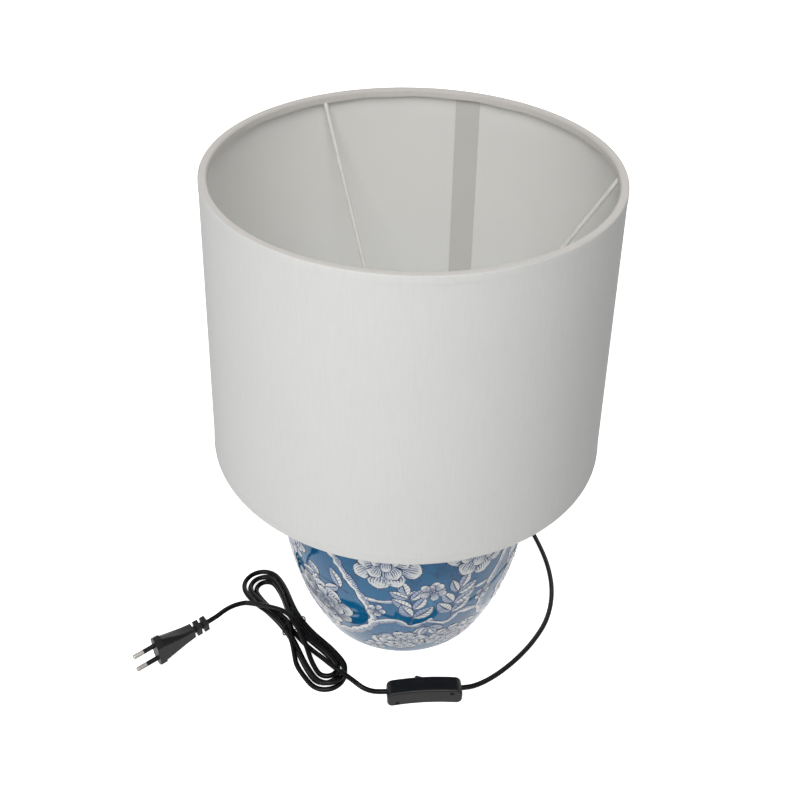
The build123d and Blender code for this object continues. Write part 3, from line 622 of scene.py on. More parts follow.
def tube(tag: Tag, paths: Sequence[tuple[Sequence[Point], bool]], diameter: float,
         material: bpy.types.Material, steps: int, roundness: int) -> bpy.types.Object:
    """Lay round cord or wire along smooth lines.

    Args:
        tag: Its name, slot, replaced nodes and body.
        paths: The control points of each line in millimetres, and whether it is closed.
        diameter: Its thickness, in metres.
        material: Its material.
        steps: Steps from one point to the next.
        roundness: Steps round a quarter of its section.

    Returns:
        The curve.
    """
    data = bpy.data.curves.new(tag.name, "CURVE")
    data.dimensions = "3D"
    data.bevel_depth = diameter / 2
    data.bevel_resolution = roundness
    data.resolution_u = steps
    data.use_fill_caps = True
    for points, closed in paths:
        spline = data.splines.new("NURBS")
        spline.points.add(len(points) - 1)
        for knot, (x, y, z) in zip(spline.points, points):
            knot.co = (x * MM, y * MM, z * MM, 1.0)
        spline.order_u = 3
        spline.use_cyclic_u = closed
        spline.use_endpoint_u = not closed
    return tag.attach(data, material)


def dress(material: bpy.types.Material, *nodes: str) -> None:
    """Give CAD nodes a material.

    Args:
        material: The material.
        nodes: The nodes' names.
    """
    for name in nodes:
        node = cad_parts[name]
        if not node.material_slots:
            node.data.materials.append(material)
        for slot in node.material_slots:
            slot.material = material


class Lathe:
    """A closed profile in the XZ plane, drawn in millimetres and turned about the Z axis."""

    def __init__(self, x: float, z: float) -> None:
        """Start the profile.

        Args:
            x: Radius of its first point.
            z: Height of its first point.
        """
        self.bm = bmesh.new()
        self.first = self.tip = self.bm.verts.new((x * MM, 0, z * MM))

    def line(self, *spots: Spot) -> "Lathe":
        """Draw straight on to each spot."""
        for x, z in spots:
            self.tip = bmesh.ops.extrude_vert_indiv(self.bm, verts=[self.tip])["verts"][0]
            self.tip.co = (x * MM, 0, z * MM)
        return self

    def arc(self, x: float, z: float, degrees: float, steps: int) -> "Lathe":
        """Draw an arc.

        Args:
            x: Radius of its centre.
            z: Height of its centre.
            degrees: How far it goes, anticlockwise as seen from -Y.
            steps: Its number of chords.

        Returns:
            The lathe.
        """
        made = bmesh.ops.spin(self.bm, geom=[self.tip], cent=(x * MM, 0, z * MM), axis=(0, 1, 0),
                              angle=math.radians(-degrees), steps=steps, use_duplicate=False)
        self.tip = next(item for item in made["geom_last"] if isinstance(item, bmesh.types.BMVert))
        return self

    def turn(self, segments: int) -> bmesh.types.BMesh:
        """Close the profile and turn it all the way round.

        Args:
            segments: Steps round the axis.

        Returns:
            The closed mesh, with its faces outwards.
        """
        if (self.tip.co - self.first.co).length > SAME_PLACE:
            self.bm.edges.new((self.tip, self.first))
        bmesh.ops.remove_doubles(self.bm, verts=self.bm.verts[:], dist=SAME_PLACE)
        profile = self.bm.verts[:] + self.bm.edges[:]
        bmesh.ops.spin(self.bm, geom=profile, cent=(0, 0, 0), axis=(0, 0, 1),
                       angle=2 * math.pi, steps=segments, use_merge=True)
        bmesh.ops.remove_doubles(self.bm, verts=self.bm.verts[:], dist=SAME_PLACE)
        bmesh.ops.recalc_face_normals(self.bm, faces=self.bm.faces[:])
        return self.bm


# The width of a softened edge, the angles in degrees above which an edge is softened and below
# which it's dropped, and the distance between points that count as one.
ROUNDING = 0.35 * MM
HARD_EDGE = 32.0
FLAT_EDGE = 1.0
SAME_POINT = 0.002 * MM
# The cosine of the widest angle at which a face still looks in a direction.
LOOKS_ALONG = 0.95


def softened(node: str, slot: str, material: bpy.types.Material, towards: Optional[Point] = None,
             second: Optional[bpy.types.Material] = None) -> bpy.types.Object:
    """Make a copy of a CAD node whose hard edges are rounded.

    Args:
        node: The CAD node.
        slot: Its material slot.
        material: The copy's material.
        towards: A direction whose faces have a second finish.
        second: The second finish.

    Returns:
        The copy, which replaces the node.
    """
    bm = bmesh.new()
    bm.from_mesh(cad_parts[node].data)
    bmesh.ops.remove_doubles(bm, verts=bm.verts[:], dist=SAME_POINT)
    bmesh.ops.dissolve_limit(bm, angle_limit=math.radians(FLAT_EDGE), verts=bm.verts[:], edges=bm.edges[:])
    bmesh.ops.recalc_face_normals(bm, faces=bm.faces[:])
    materials = [material]
    if second:
        materials.append(second)
        for face in bm.faces:
            face.material_index = int(face.normal.dot(Vector(towards)) > LOOKS_ALONG)
    piece = publish(bm, Tag("softened_" + node, slot, (node,)), *materials, sharp=HARD_EDGE)
    bevel = piece.modifiers.new("rounding", "BEVEL")
    bevel.width = ROUNDING
    bevel.segments = 2
    bevel.limit_method = "ANGLE"
    bevel.angle_limit = math.radians(HARD_EDGE)
    bevel.harden_normals = False
    return piece


# ------------------------------------------------------------------------- studio
@dataclass(frozen=True)
class Softbox:
    """A square soft lamp that looks at the middle of the object."""

    name: str
    place: Point
    side: float
    watts: float
    aim: Point = (0.0, 0.0, 0.2)

    def hang(self) -> None:
        """Put the lamp up."""
        data = bpy.data.lights.new(self.name, "AREA")
        data.shape = "SQUARE"
        data.size = self.side
        data.energy = self.watts
        lamp = bpy.data.objects.new(self.name, data)
        turn = (Vector(self.aim) - Vector(self.place)).to_track_quat("-Z", "Y").to_matrix().to_4x4()
        lamp.matrix_world = Matrix.Translation(self.place) @ turn
        bpy.context.scene.collection.objects.link(lamp)


SOFTBOXES = (
    Softbox("key", (-1.0, -1.57, 0.28), 0.6, 9.0),
    Softbox("front", (-0.12, -1.1, 1.7), 1.0, 19.5),
    Softbox("back", (0.35, 1.7, 1.25), 1.2, 12.0),
)


@dataclass
class Studio:
    """Camera, lamps and floor."""

    eye: Point = (0.0, -0.6073, 0.6901)
    pitch: float = 38.11
    yaw: float = -0.51
    roll: float = 1.31
    focal_pixels: float = 990.2
    picture: float = 800.0
    sensor: float = 36.0
    sky: float = 0.225
    floor_half: float = 4.0
    floor_glow: float = 0.85

    def build(self) -> None:
        """Put up the camera, the sky, the lamps and the floor."""
        bpy.context.scene.view_settings.view_transform = "Standard"
        self._camera()
        self._sky()
        for softbox in SOFTBOXES:
            softbox.hang()
        self._floor()

    def _camera(self) -> None:
        """Stand the camera at the photograph's angle."""
        pitch, yaw, roll = (math.radians(angle) for angle in (self.pitch, self.yaw, self.roll))
        ahead = Vector((math.sin(yaw) * math.cos(pitch), math.cos(yaw) * math.cos(pitch), -math.sin(pitch)))
        right = Vector((math.cos(yaw), -math.sin(yaw), 0.0))
        up = right.cross(ahead)
        level = right * math.cos(roll) + up * math.sin(roll)
        upright = up * math.cos(roll) - right * math.sin(roll)
        data = bpy.data.cameras.new("camera")
        data.lens = self.focal_pixels / self.picture * self.sensor
        data.sensor_width = self.sensor
        camera = bpy.data.objects.new("camera", data)
        turn = Matrix((level, upright, -ahead)).transposed().to_4x4()
        camera.matrix_world = Matrix.Translation(self.eye) @ turn
        bpy.context.scene.collection.objects.link(camera)
        bpy.context.scene.camera = camera

    @staticmethod
    def _seen(recipe: Recipe) -> Signal:
        """1 for what the camera, a reflection or a refraction sees, else 0."""
        return recipe.rays("Camera", "Glossy", "Transmission")

    def _sky(self) -> None:
        """A white surround that lights the lamp softly."""
        world = bpy.data.worlds.new("studio")
        bpy.context.scene.world = world
        recipe = Recipe("studio", world)
        lit, shown = (recipe.signal("ShaderNodeBackground", sockets={"Color": WHITE, "Strength": strength})
                      for strength in (self.sky, 1.0))
        both = recipe.blend(self._seen(recipe), lit, shown)
        recipe.node("ShaderNodeOutputWorld", sockets={"Surface": both})

    def _floor(self) -> None:
        """A plain pale floor that the camera sees white, with the object's shadow on it."""
        recipe = Recipe("pale_floor")
        tone = recipe.mix(paint(228, 228, 228), paint(232, 232, 232), recipe.noise(6.0, 2.0))
        matt, white = (recipe.signal("ShaderNodeBsdfDiffuse", sockets={"Color": colour})
                       for colour in (tone, WHITE))
        lit = recipe.signal("ShaderNodeAddShader", sockets={0: white, 1: recipe.emission(self.floor_glow)})
        shown = recipe.blend(recipe.rays("Glossy"), lit, recipe.emission(1.0))
        both = recipe.blend(self._seen(recipe), matt, shown)
        recipe.node("ShaderNodeOutputMaterial", sockets={"Surface": both})
        bm = bmesh.new()
        bmesh.ops.create_grid(bm, x_segments=4, y_segments=4, size=self.floor_half)
        mesh = bpy.data.meshes.new("floor")
        bm.to_mesh(mesh)
        bm.free()
        mesh.materials.append(recipe.owner)
        floor = bpy.data.objects.new("floor", mesh)
        bpy.context.scene.collection.objects.link(floor)


# ------------------------------------------------------------------------- lead
LAMP_LEAD_ROUTE: tuple[Point, ...] = (
    (0, 101, 12), (0, 111, 12), (2.5, 123, 9.4), (10, 135, 5.2), (25, 144.5, 2.6), (47, 148, 2.15),
    (76, 141, 2.15), (101, 119, 2.15), (117, 90, 2.15), (128, 60, 2.15), (136, 27, 2.15),
    (137, -6, 2.15), (129.5, -37, 2.15), (115, -61.5, 2.15), (100, -80, 2.4), (85, -95.2, 3.6),
    (73, -105.6, 5.6), (64, -111.8, 7.4), (56.83, -114.81, 8.0), (50.86, -115.38, 8.0),
)
SWITCH_LEAD_ROUTE: tuple[Point, ...] = (
    (-9.86, -121.22, 8.0), (-17.3, -121.94, 8.0), (-25.2, -121.9, 10.0), (-31.4, -119.8, 12.2),
    (-36.4, -116.1, 13.4),
)
PLUG_LEAD_ROUTE: tuple[Point, ...] = (
    (-132.9, -38.3, 14.1), (-139.9, -40.2, 14.9), (-146.9, -45.2, 16.6), (-152.6, -52.6, 18.9),
    (-157.17, -60.57, 20.73), (-164.15, -66.23, 20.26),
)
LEAD_DIAMETER = 4.2 * MM


@dataclass
class Hank:
    """The spare lead wound to and fro and drawn in at its waist, in millimetres."""

    centre: Spot = (-92.0, -56.2)
    azimuth: float = -54.2
    reach: float = 54.5
    pitch: float = 4.8
    waist_step: float = 5.2
    inner: float = 8.0
    lift: float = 1.4
    layers: Point = (2.2, 7.05, 11.9)
    run_points: int = 6
    turn_points: int = 7
    lead_in: tuple[Point, ...] = ((59.0, 4.0, 12.1), (44.0, 2.1, 9.0), (30.0, 0.3, 5.0), (17.0, -1.2, 2.9))
    lead_out: float = -14.0

    def spot(self, along: float, across: float, height: float) -> Point:
        """Place a point of the hank in the lamp's frame."""
        c, s = math.cos(math.radians(self.azimuth)), math.sin(math.radians(self.azimuth))
        return (self.centre[0] + along * c - across * s, self.centre[1] + along * s + across * c, height)

    def _run(self, start: Point, end: Point) -> list[Point]:
        """A half run that bows out from the waist or back into it.

        Args:
            start: Along, across and height where it starts.
            end: The same where it ends.

        Returns:
            Its points after the start, without the end.
        """
        points = []
        for step in range(1, self.run_points):
            share = step / self.run_points
            bow = 2 * share ** 2 if share < 0.5 else 1 - 2 * (1 - share) ** 2
            points.append(tuple(a + (b - a) * (share if axis == 0 else bow)
                                for axis, (a, b) in enumerate(zip(start, end))))
        return points

    def _turn(self, along: float, start: float, end: float, level: float) -> list[Point]:
        """The half turn at one end of a loop.

        Args:
            along: Where the turn starts; its sign says which end it is.
            start: How far across it starts.
            end: How far across it ends.
            level: Its height.

        Returns:
            Its points, from start to end.
        """
        middle, half = (start + end) / 2, (start - end) / 2
        outwards = math.copysign(half, along)
        points = []
        for step in range(self.turn_points + 1):
            angle = math.pi * step / self.turn_points
            points.append((along + outwards * math.sin(angle), middle + half * math.cos(angle), level))
        return points

    def points(self) -> list[Point]:
        """All control points from the switch's side to the plug's side, in the lamp's frame."""
        low, mid, high = self.layers
        near, far = self.waist_step / 2, self.waist_step * 1.5
        wide = [self.inner + self.pitch / 2 * step for step in range(5)]
        climb = [(self.reach / 2 + 9, -18.6, mid - 2.2),
                 (self.reach / 2, -(wide[2] + far) / 2 - self.pitch, mid), (self.reach / 4, -9.8, mid + 0.7)]
        close = [(self.reach * 0.75, -7.1, mid + 1.9), (self.reach / 2, -3.6, high),
                 (self.reach / 4, -1.2, high + 0.9)]
        loops = (
            (wide[0], wide[1], wide[2], near, low, -2.0, []),
            (wide[2], wide[3], wide[4], far, low, 0.0, climb),
            (wide[4], wide[3], wide[2], far, mid, 0.8, []),
            (wide[2], wide[1], wide[0], near, mid, -1.6, close),
        )
        line = list(self.lead_in)
        for far_in, far_out, near_out, waist, level, longer, onward in loops:
            reach = self.reach + longer
            crest = level + self.lift
            left = self._turn(-reach, -far_in, far_out, level)
            right = self._turn(reach, far_out, -near_out, level)
            line.append((0.0, -waist, crest))
            line += self._run(line[-1], left[0]) + left
            middle = (0.0, waist, crest)
            line += self._run(left[-1], middle) + [middle] + self._run(middle, right[0]) + right
            line += onward or self._run(line[-1], (0.0, -far, crest))
        line += [(0.0, 0.0, high + self.lift), (self.lead_out, 0.0, high + self.lift)]
        return [self.spot(*point) for point in line]


@dataclass
class Lead:
    """The free lead: from the foot to the switch, and from the switch through the hank to the plug."""

    lamp_length: float = 0.4167
    plug_length: float = 1.411
    tie_wire: float = 1.1 * MM

    def build(self) -> None:
        black = Moulded("black_cord", paint(5, 5, 6), rough=0.26, grain=0.005 * MM, grain_scale=900.0,
                        mottle=0.05, shine=0.14).make()
        hank = Hank()
        route = [*SWITCH_LEAD_ROUTE, *hank.points(), *PLUG_LEAD_ROUTE]
        first = tube(Tag("lamp_cord", "cord_black", ("lamp_lead",)), [(LAMP_LEAD_ROUTE, False)],
                     LEAD_DIAMETER, black, steps=10, roundness=5)
        second = tube(Tag("plug_cord", "cord_black", ("switch_lead", "cord_hank", "plug_lead")),
                      [(route, False)], LEAD_DIAMETER, black, steps=6, roundness=5)
        tie = self._tie(hank)

    def _tie(self, hank: Hank) -> bpy.types.Object:
        """The twist tie round the waist of the hank, with its twisted tail.

        Args:
            hank: The hank that it holds.

        Returns:
            The tie.
        """
        black = Moulded("black_tie", paint(8, 8, 9), rough=0.45, grain_scale=2500.0, shine=0.15).make()
        half, low, shoulder, crest = 10.9, 0.75, 11.2, 16.4
        side = [(half, low + 0.9), (half + 0.2, 6.0), (half, shoulder), (7.4, 13.6), (3.4, crest)]
        loop = [*side, (0.0, crest + 0.25), *((-across, z) for across, z in reversed(side)),
                (-half + 1.4, low), (0.0, low), (half - 1.4, low)]
        tail = [(0.0, 0.0, crest - 0.1), (-0.8, 0.3, crest + 1.4), (-2.4, 0.9, crest + 2.2),
                (-5.5, 2.4, crest + 2.7), (-9.0, 4.0, crest + 2.6)]
        twisted = [(x + 0.5 * math.sin(1.6 * n), y + 0.9 * math.cos(1.6 * n), z - 0.4 + 0.7 * math.sin(n))
                   for n, (x, y, z) in enumerate(tail)]
        paths = [([hank.spot(0.0, across, z) for across, z in loop], True),
                 ([hank.spot(*point) for point in tail], False),
                 ([hank.spot(*point) for point in twisted], False)]
        return tube(Tag("twist_tie", "tie_black", ("hank_tie",)), paths, self.tie_wire, black,
                    steps=6, roundness=3)


# ------------------------------------------------------------------------- jar
@dataclass
class Jar:
    """The glazed jar, in millimetres."""

    radius: float = 102.0
    widest: float = 118.0
    belly_arc: float = 275.97
    shoulder: float = 56.0
    foot_z: float = 1.5
    foot_inner: float = 67.0
    foot_edge: float = 74.0
    neck: float = 40.0
    fillet: float = 6.0
    top: float = 186.0
    rim: float = 2.0
    wall: float = 5.0
    floor_z: float = 36.0
    bore: float = 5.6
    foot_rise: float = 2.0
    recess_play: float = 1.5
    segments: int = 240

    def belly(self, z: float, inset: float = 0.0) -> float:
        """Radius below the widest height, or of the hollow a wall further in."""
        out = math.sqrt((self.belly_arc - inset) ** 2 - (z - self.widest) ** 2)
        return self.radius - self.belly_arc + out

    def belly_angle(self, z: float, inset: float = 0.0) -> float:
        """How far below the widest height a height is on the belly's arc, in degrees."""
        return math.degrees(math.asin((self.widest - z) / (self.belly_arc - inset)))

    def where(self, meridian: float, azimuth: float, lift: float = 0.0) -> Vector:
        """A point on the glaze.

        Args:
            meridian: Millimetres up along the glaze from the widest height.
            azimuth: Radians round the jar.
            lift: Millimetres above the glaze.

        Returns:
            The point, in metres.
        """
        arc = self.belly_arc if meridian < 0 else self.shoulder
        angle = meridian / arc
        out = self.radius - arc + (arc + lift) * math.cos(angle)
        height = self.widest + (arc + lift) * math.sin(angle)
        return Vector((out * math.cos(azimuth), out * math.sin(azimuth), height)) * MM

    def girth(self, meridian: float) -> float:
        """Radius of the jar at a place up its meridian."""
        arc = self.belly_arc if meridian < 0 else self.shoulder
        return self.radius - arc + arc * math.cos(meridian / arc)

    def build(self) -> bpy.types.Object:
        """Turn the jar and glaze it."""
        low = self.foot_z + self.foot_rise
        root = self.radius - self.shoulder
        root_z = self.widest + self.shoulder
        inside_floor = self.floor_z + self.wall
        neck_in = self.neck - self.wall
        centre = self.radius - self.belly_arc
        lathe = Lathe(self.foot_inner, self.foot_z)
        lathe.line((self.foot_edge, self.foot_z), (self.belly(low), low))
        lathe.arc(centre, self.widest, self.belly_angle(low), 40)
        lathe.arc(root, self.widest, 90.0, 30)
        lathe.arc(root, root_z + self.fillet, -90.0, 8)
        lathe.line((self.neck, self.top - self.rim))
        lathe.arc(self.neck - self.rim, self.top - self.rim, 90.0, 6)
        lathe.line((neck_in, self.top), (neck_in, root_z - self.wall), (root, root_z - self.wall))
        lathe.arc(root, self.widest, -90.0, 20)
        lathe.arc(centre, self.widest, -self.belly_angle(inside_floor, self.wall), 20)
        lathe.line((self.bore, inside_floor), (self.bore, self.floor_z),
                   (self.belly(self.floor_z) - self.wall - self.recess_play, self.floor_z))
        bm = lathe.turn(self.segments)
        return publish(bm, Tag("glazed_jar", "glaze", ("jar_body",)), Glaze().make())


class Ring(NamedTuple):
    """One ring of petals of a flower, in shares of the flower's size."""

    count: int
    length: float
    half_width: float
    root: float
    frill: float


class Sprig(NamedTuple):
    """One spray of a cluster: where it starts, its direction, length and bend, and its leaves."""

    x: float
    y: float
    heading: float
    length: float
    bend: float
    pairs: int
    leaf: float


BLOOM_RINGS = (Ring(9, 0.62, 0.27, 0.35, 0.07), Ring(7, 0.50, 0.22, 0.18, 0.08),
               Ring(5, 0.32, 0.16, 0.05, 0.06), Ring(3, 0.16, 0.09, 0.0, 0.0))
BLOSSOM_PETALS = Ring(5, 0.85, 0.40, 0.14, 0.03)
BLOSSOM_HEART = Ring(3, 0.28, 0.14, 0.0, 0.0)
SPRIGS = (
    Sprig(6, -78, -36, 38, 44, 3, 21), Sprig(-4, 60, 60, 24, 30, 2, 18), Sprig(-26, 34, 168, 36, -44, 3, 24),
    Sprig(46, -56, 78, 40, 34, 3, 24), Sprig(-30, -100, 118, 28, -40, 2, 20),
    Sprig(58, -58, -58, 30, -30, 2, 18), Sprig(20, 52, 14, 36, -30, 3, 19),
    Sprig(-4, -24, 152, 34, 46, 2, 23),
)
BLOSSOMS = ((-58, -2, 12), (64, -14, 11), (-2, 38, 12), (14, -104, 10), (-62, -92, 11), (52, 56, 11),
            (-52, 64, 12), (18, -38, 9), (-60, 26, 10))


@dataclass
class JarPrint:
    """Blossoms, leaves and branches printed on the jar, in clusters round it.

    A spot of a cluster is (x, y): x is millimetres round the jar at its widest, y is
    millimetres up its meridian from there. The lifts are millimetres above the glaze, so that
    no shape lies in another's face.
    """

    jar: Jar
    clusters: int = 5
    first_azimuth: float = -112.0
    line: float = 1.0
    thinnest: float = 0.05
    sheet: float = 0.22
    branch_lift: float = 0.045
    stem_lift: float = 0.055
    leaf_lift: float = 0.075
    bloom_lift: float = 0.10
    ring_lift: float = 0.035
    blossom_lift: float = 0.11
    heart_lift: float = 0.155
    petal_lift: float = 0.016
    lift_play: float = 0.012
    seed: int = 11

    def build(self) -> None:
        """Print every motif."""
        self.dice = random.Random(self.seed)
        self.meshes = {motif: bmesh.new() for motif in Motif}
        for number in range(self.clusters):
            self.azimuth = math.radians(self.first_azimuth + 360.0 / self.clusters * number)
            self._cluster(number)
        for motif, bm in self.meshes.items():
            bmesh.ops.remove_doubles(bm, verts=bm.verts[:], dist=SAME_PLACE)
            piece = publish(bm, Tag("printed_" + motif.value, "glaze"), Print(motif).make())
            solid = piece.modifiers.new("thickness", "SOLIDIFY")
            solid.thickness = self.sheet * MM
            solid.offset = -1.0

    def bow(self, spot: Spot, heading: float, length: float, bend: float) -> Spine:
        """An arc that leaves a spot.

        Args:
            spot: Where it starts.
            heading: Its first direction, in degrees from +x.
            length: Its length, in millimetres on the glaze.
            bend: How far it turns, in degrees.

        Returns:
            The arc, as a function from 0 to 1.
        """
        start, sweep = math.radians(heading), math.radians(bend) or 1e-4
        widen = self.jar.radius / self.jar.girth(spot[1])
        arm = length / sweep

        def at(share: float) -> Spot:
            """A point of the arc."""
            x = arm * (math.sin(start + sweep * share) - math.sin(start))
            y = arm * (math.cos(start) - math.cos(start + sweep * share))
            return (spot[0] + x * widen, spot[1] + y)
        return at

    @staticmethod
    def thread(spots: Sequence[Spot]) -> Spine:
        """A smooth line through spots.

        Args:
            spots: The spots in order.

        Returns:
            The line, as a function from 0 to 1.
        """
        padded = [spots[0], *spots, spots[-1]]
        spans = len(spots) - 1

        def at(share: float) -> Spot:
            """A point of the line."""
            index = min(int(share * spans), spans - 1)
            t = share * spans - index
            near = padded[index:index + 4]
            weights = (-0.5 * t ** 3 + t ** 2 - 0.5 * t, 1.5 * t ** 3 - 2.5 * t ** 2 + 1,
                       -1.5 * t ** 3 + 2 * t ** 2 + 0.5 * t, 0.5 * t ** 3 - 0.5 * t ** 2)
            x, y = (sum(weight * spot[axis] for weight, spot in zip(weights, near)) for axis in (0, 1))
            return (x, y)
        return at

    def stamp(self, motif: Motif, spine: Spine, length: float, half_width: Callable[[float], float],
              lift: float, rows: int = 8, columns: int = 6, frill: float = 0.0,
              blunt: bool = False) -> None:
        """Print one shape that follows a spine.

        Args:
            motif: What it stands for.
            spine: Its middle line.
            length: The spine's length, in millimetres.
            half_width: Half of its width at a share of its length, in millimetres.
            lift: Millimetres above the glaze.
            rows: Faces along it.
            columns: Faces across it, an even number.
            frill: How much its far edge waves, as a share of its length.
            blunt: Whether its far edge is outlined too.
        """
        bm = self.meshes[motif]
        keys = {key: bm.verts.layers.float.get(key) or bm.verts.layers.float.new(key)
                for key in ("rim_mm", "along", "across", "run_mm")}
        grid = bmesh.ops.create_grid(bm, x_segments=rows, y_segments=columns, size=1.0)["verts"]
        lift += self.dice.uniform(0.0, self.lift_play)
        for vert in grid:
            share = (1 - math.cos(math.pi * (vert.co.x + 1) / 2)) / 2
            half = max(half_width(share), self.thinnest)
            inner = max(0.0, 1 - self.line / half)
            step = round(abs(vert.co.y) * columns / 2)
            last = columns // 2
            across = 1.0 if step == last else inner * step / max(last - 1, 1)
            across = math.copysign(across, vert.co.y)
            stretch = share * (1 + frill * math.cos(3 * math.pi * across) * share)
            x, y = spine(min(stretch, 1.0) if frill == 0 else stretch)
            ahead = spine(stretch + 0.01)
            behind = spine(stretch - 0.01)
            widen = self.jar.radius / self.jar.girth(y)
            dx, dy = (ahead[0] - behind[0]) / widen, ahead[1] - behind[1]
            size = math.hypot(dx, dy) or 1.0
            x -= dy / size * half * across * widen
            y += dx / size * half * across
            edge = half * (1 - abs(across))
            vert[keys["rim_mm"]] = min(edge, length * (1 - share)) if blunt else edge
            vert[keys["along"]] = share
            vert[keys["across"]] = across
            vert[keys["run_mm"]] = share * length
            vert.co = self.jar.where(y, self.azimuth + x / self.jar.radius, lift)

    def petals(self, spot: Spot, size: float, ring: Ring, lift: float, start: float) -> None:
        """A ring of petals round a spot.

        Args:
            spot: The middle of the flower.
            size: The flower's size.
            ring: The petals.
            lift: Their height above the glaze.
            start: Azimuth of the first, in degrees.
        """
        widen = self.jar.radius / self.jar.girth(spot[1])
        for number in range(ring.count):
            heading = start + 360.0 * number / ring.count + self.dice.uniform(-6, 6)
            angle = math.radians(heading)
            out = size * ring.root
            root = (spot[0] + out * math.cos(angle) * widen, spot[1] + out * math.sin(angle))
            reach = size * ring.length * self.dice.uniform(0.92, 1.08)
            spine = self.bow(root, heading, reach, self.dice.uniform(-14, 14))
            half = size * ring.half_width * self.dice.uniform(0.92, 1.08)
            waves = self.dice.uniform(0, 6)

            def outline(share: float, half: float = half, waves: float = waves) -> float:
                """A petal's half width: narrow at its root, round at its tip."""
                if share >= 1:
                    return 0.0
                body = math.sin(math.pi * min(1.0, 0.12 + 0.88 * share) ** 1.35) ** 0.75
                return half * body * (1 + 1.6 * ring.frill * math.sin(9 * share + waves))
            self.stamp(Motif.BLOSSOM, spine, reach, outline, lift + self.petal_lift * (number % 2),
                       rows=9, frill=ring.frill, blunt=True)

    def bloom(self, spot: Spot, size: float) -> None:
        """A full round blossom with rings of petals round its heart.

        Args:
            spot: Its middle.
            size: Its radius.
        """
        turn = self.dice.uniform(0, 40)
        for level, ring in enumerate(BLOOM_RINGS):
            self.petals(spot, size, ring, self.bloom_lift + self.ring_lift * level, turn + 23 * level)

    def spray(self, spot: Spot, sprig: Sprig, hand: int) -> None:
        """A bowed stem with leaves on both sides and one at its tip.

        Args:
            spot: Where the stem starts.
            sprig: Its direction, length, bend and leaves.
            hand: -1 for its mirror image, else 1.
        """
        heading = sprig.heading if hand > 0 else 180 - sprig.heading
        bend = sprig.bend * hand
        stem = self.bow(spot, heading, sprig.length, bend)
        self.stamp(Motif.LEAF, stem, sprig.length, lambda share: 0.65 - 0.3 * share, self.stem_lift,
                   rows=10, columns=2)
        for number in range(sprig.pairs):
            share = 0.22 + 0.68 * number / max(sprig.pairs - 1, 1) * 0.92
            for side in (-1, 1):
                here = min(share + 0.06 * (side > 0), 0.97)
                tilt = heading + bend * here + side * self.dice.uniform(42, 62)
                size = sprig.leaf * (1 - 0.28 * share) * self.dice.uniform(0.88, 1.08)
                self.leaf(stem(here), tilt, size, -side * self.dice.uniform(10, 34))
        self.leaf(stem(1.0), heading + bend, sprig.leaf * 0.8, self.dice.uniform(-15, 15))

    def leaf(self, spot: Spot, heading: float, length: float, bend: float) -> None:
        """One pointed leaf.

        Args:
            spot: Its root.
            heading: Its direction, in degrees.
            length: Its length.
            bend: How far its midrib turns, in degrees.
        """
        half = length * self.dice.uniform(0.25, 0.31)
        self.stamp(Motif.LEAF, self.bow(spot, heading, length, bend), length,
                   lambda share: half * math.sin(math.pi * share ** 0.85) ** 0.9 if 0 < share < 1 else 0.0,
                   self.leaf_lift, rows=8)

    def blossom(self, spot: Spot, size: float) -> None:
        """A small flower of five round petals.

        Args:
            spot: Its middle.
            size: Its radius.
        """
        turn = self.dice.uniform(0, 72)
        self.petals(spot, size, BLOSSOM_PETALS, self.blossom_lift, turn)
        self.petals(spot, size, BLOSSOM_HEART, self.heart_lift, turn + 30)

    def branch(self, spots: Sequence[Spot], thick: float, thin: float) -> None:
        """A knobbly branch through spots.

        Args:
            spots: What it passes through.
            thick: Half of its width at its root.
            thin: Half of its width at its tip.
        """
        length = sum(math.dist(a, b) for a, b in zip(spots, spots[1:]))
        phase = self.dice.uniform(0, 6)

        def outline(share: float) -> float:
            """The branch's half width, with knots."""
            run = length * share
            knots = 1 + 0.22 * math.sin(run * 0.42 + phase) + 0.12 * math.sin(run * 1.1)
            return (thick + (thin - thick) * share) * knots
        rows = max(12, int(length / 3))
        self.stamp(Motif.BRANCH, self.thread(spots), length, outline, self.branch_lift, rows=rows)

    def _cluster(self, number: int) -> None:
        """Print one cluster; every second one leans the other way."""
        hand = 1 if number % 2 == 0 else -1

        def at(x: float, y: float) -> Spot:
            """A spot, with a little play."""
            return (hand * x + self.dice.uniform(-2, 2), y + self.dice.uniform(-2, 2))

        knee = at(16, -58)
        fork = at(-16, 8)
        self.branch([at(-40, -114), at(-26, -98), at(-4, -84), knee, at(10, -26), fork], 5.0, 3.8)
        self.branch([fork, at(-30, 24), at(-24, 44), at(-4, 60), at(22, 66)], 3.8, 2.0)
        self.branch([knee, at(36, -50), at(50, -60), at(66, -52)], 3.8, 2.2)
        self.branch([at(10, -26), at(30, -24), at(48, -12)], 2.8, 1.6)
        self.bloom(at(-32, -54), 31)
        self.bloom(at(24, 20), 32)
        self.bloom(at(42, -90), 21)
        starts = [at(sprig.x, sprig.y) for sprig in SPRIGS]
        for spot, sprig in zip(starts, SPRIGS):
            self.spray(spot, sprig, hand)
        for x, y, size in BLOSSOMS:
            self.blossom(at(x, y), size)


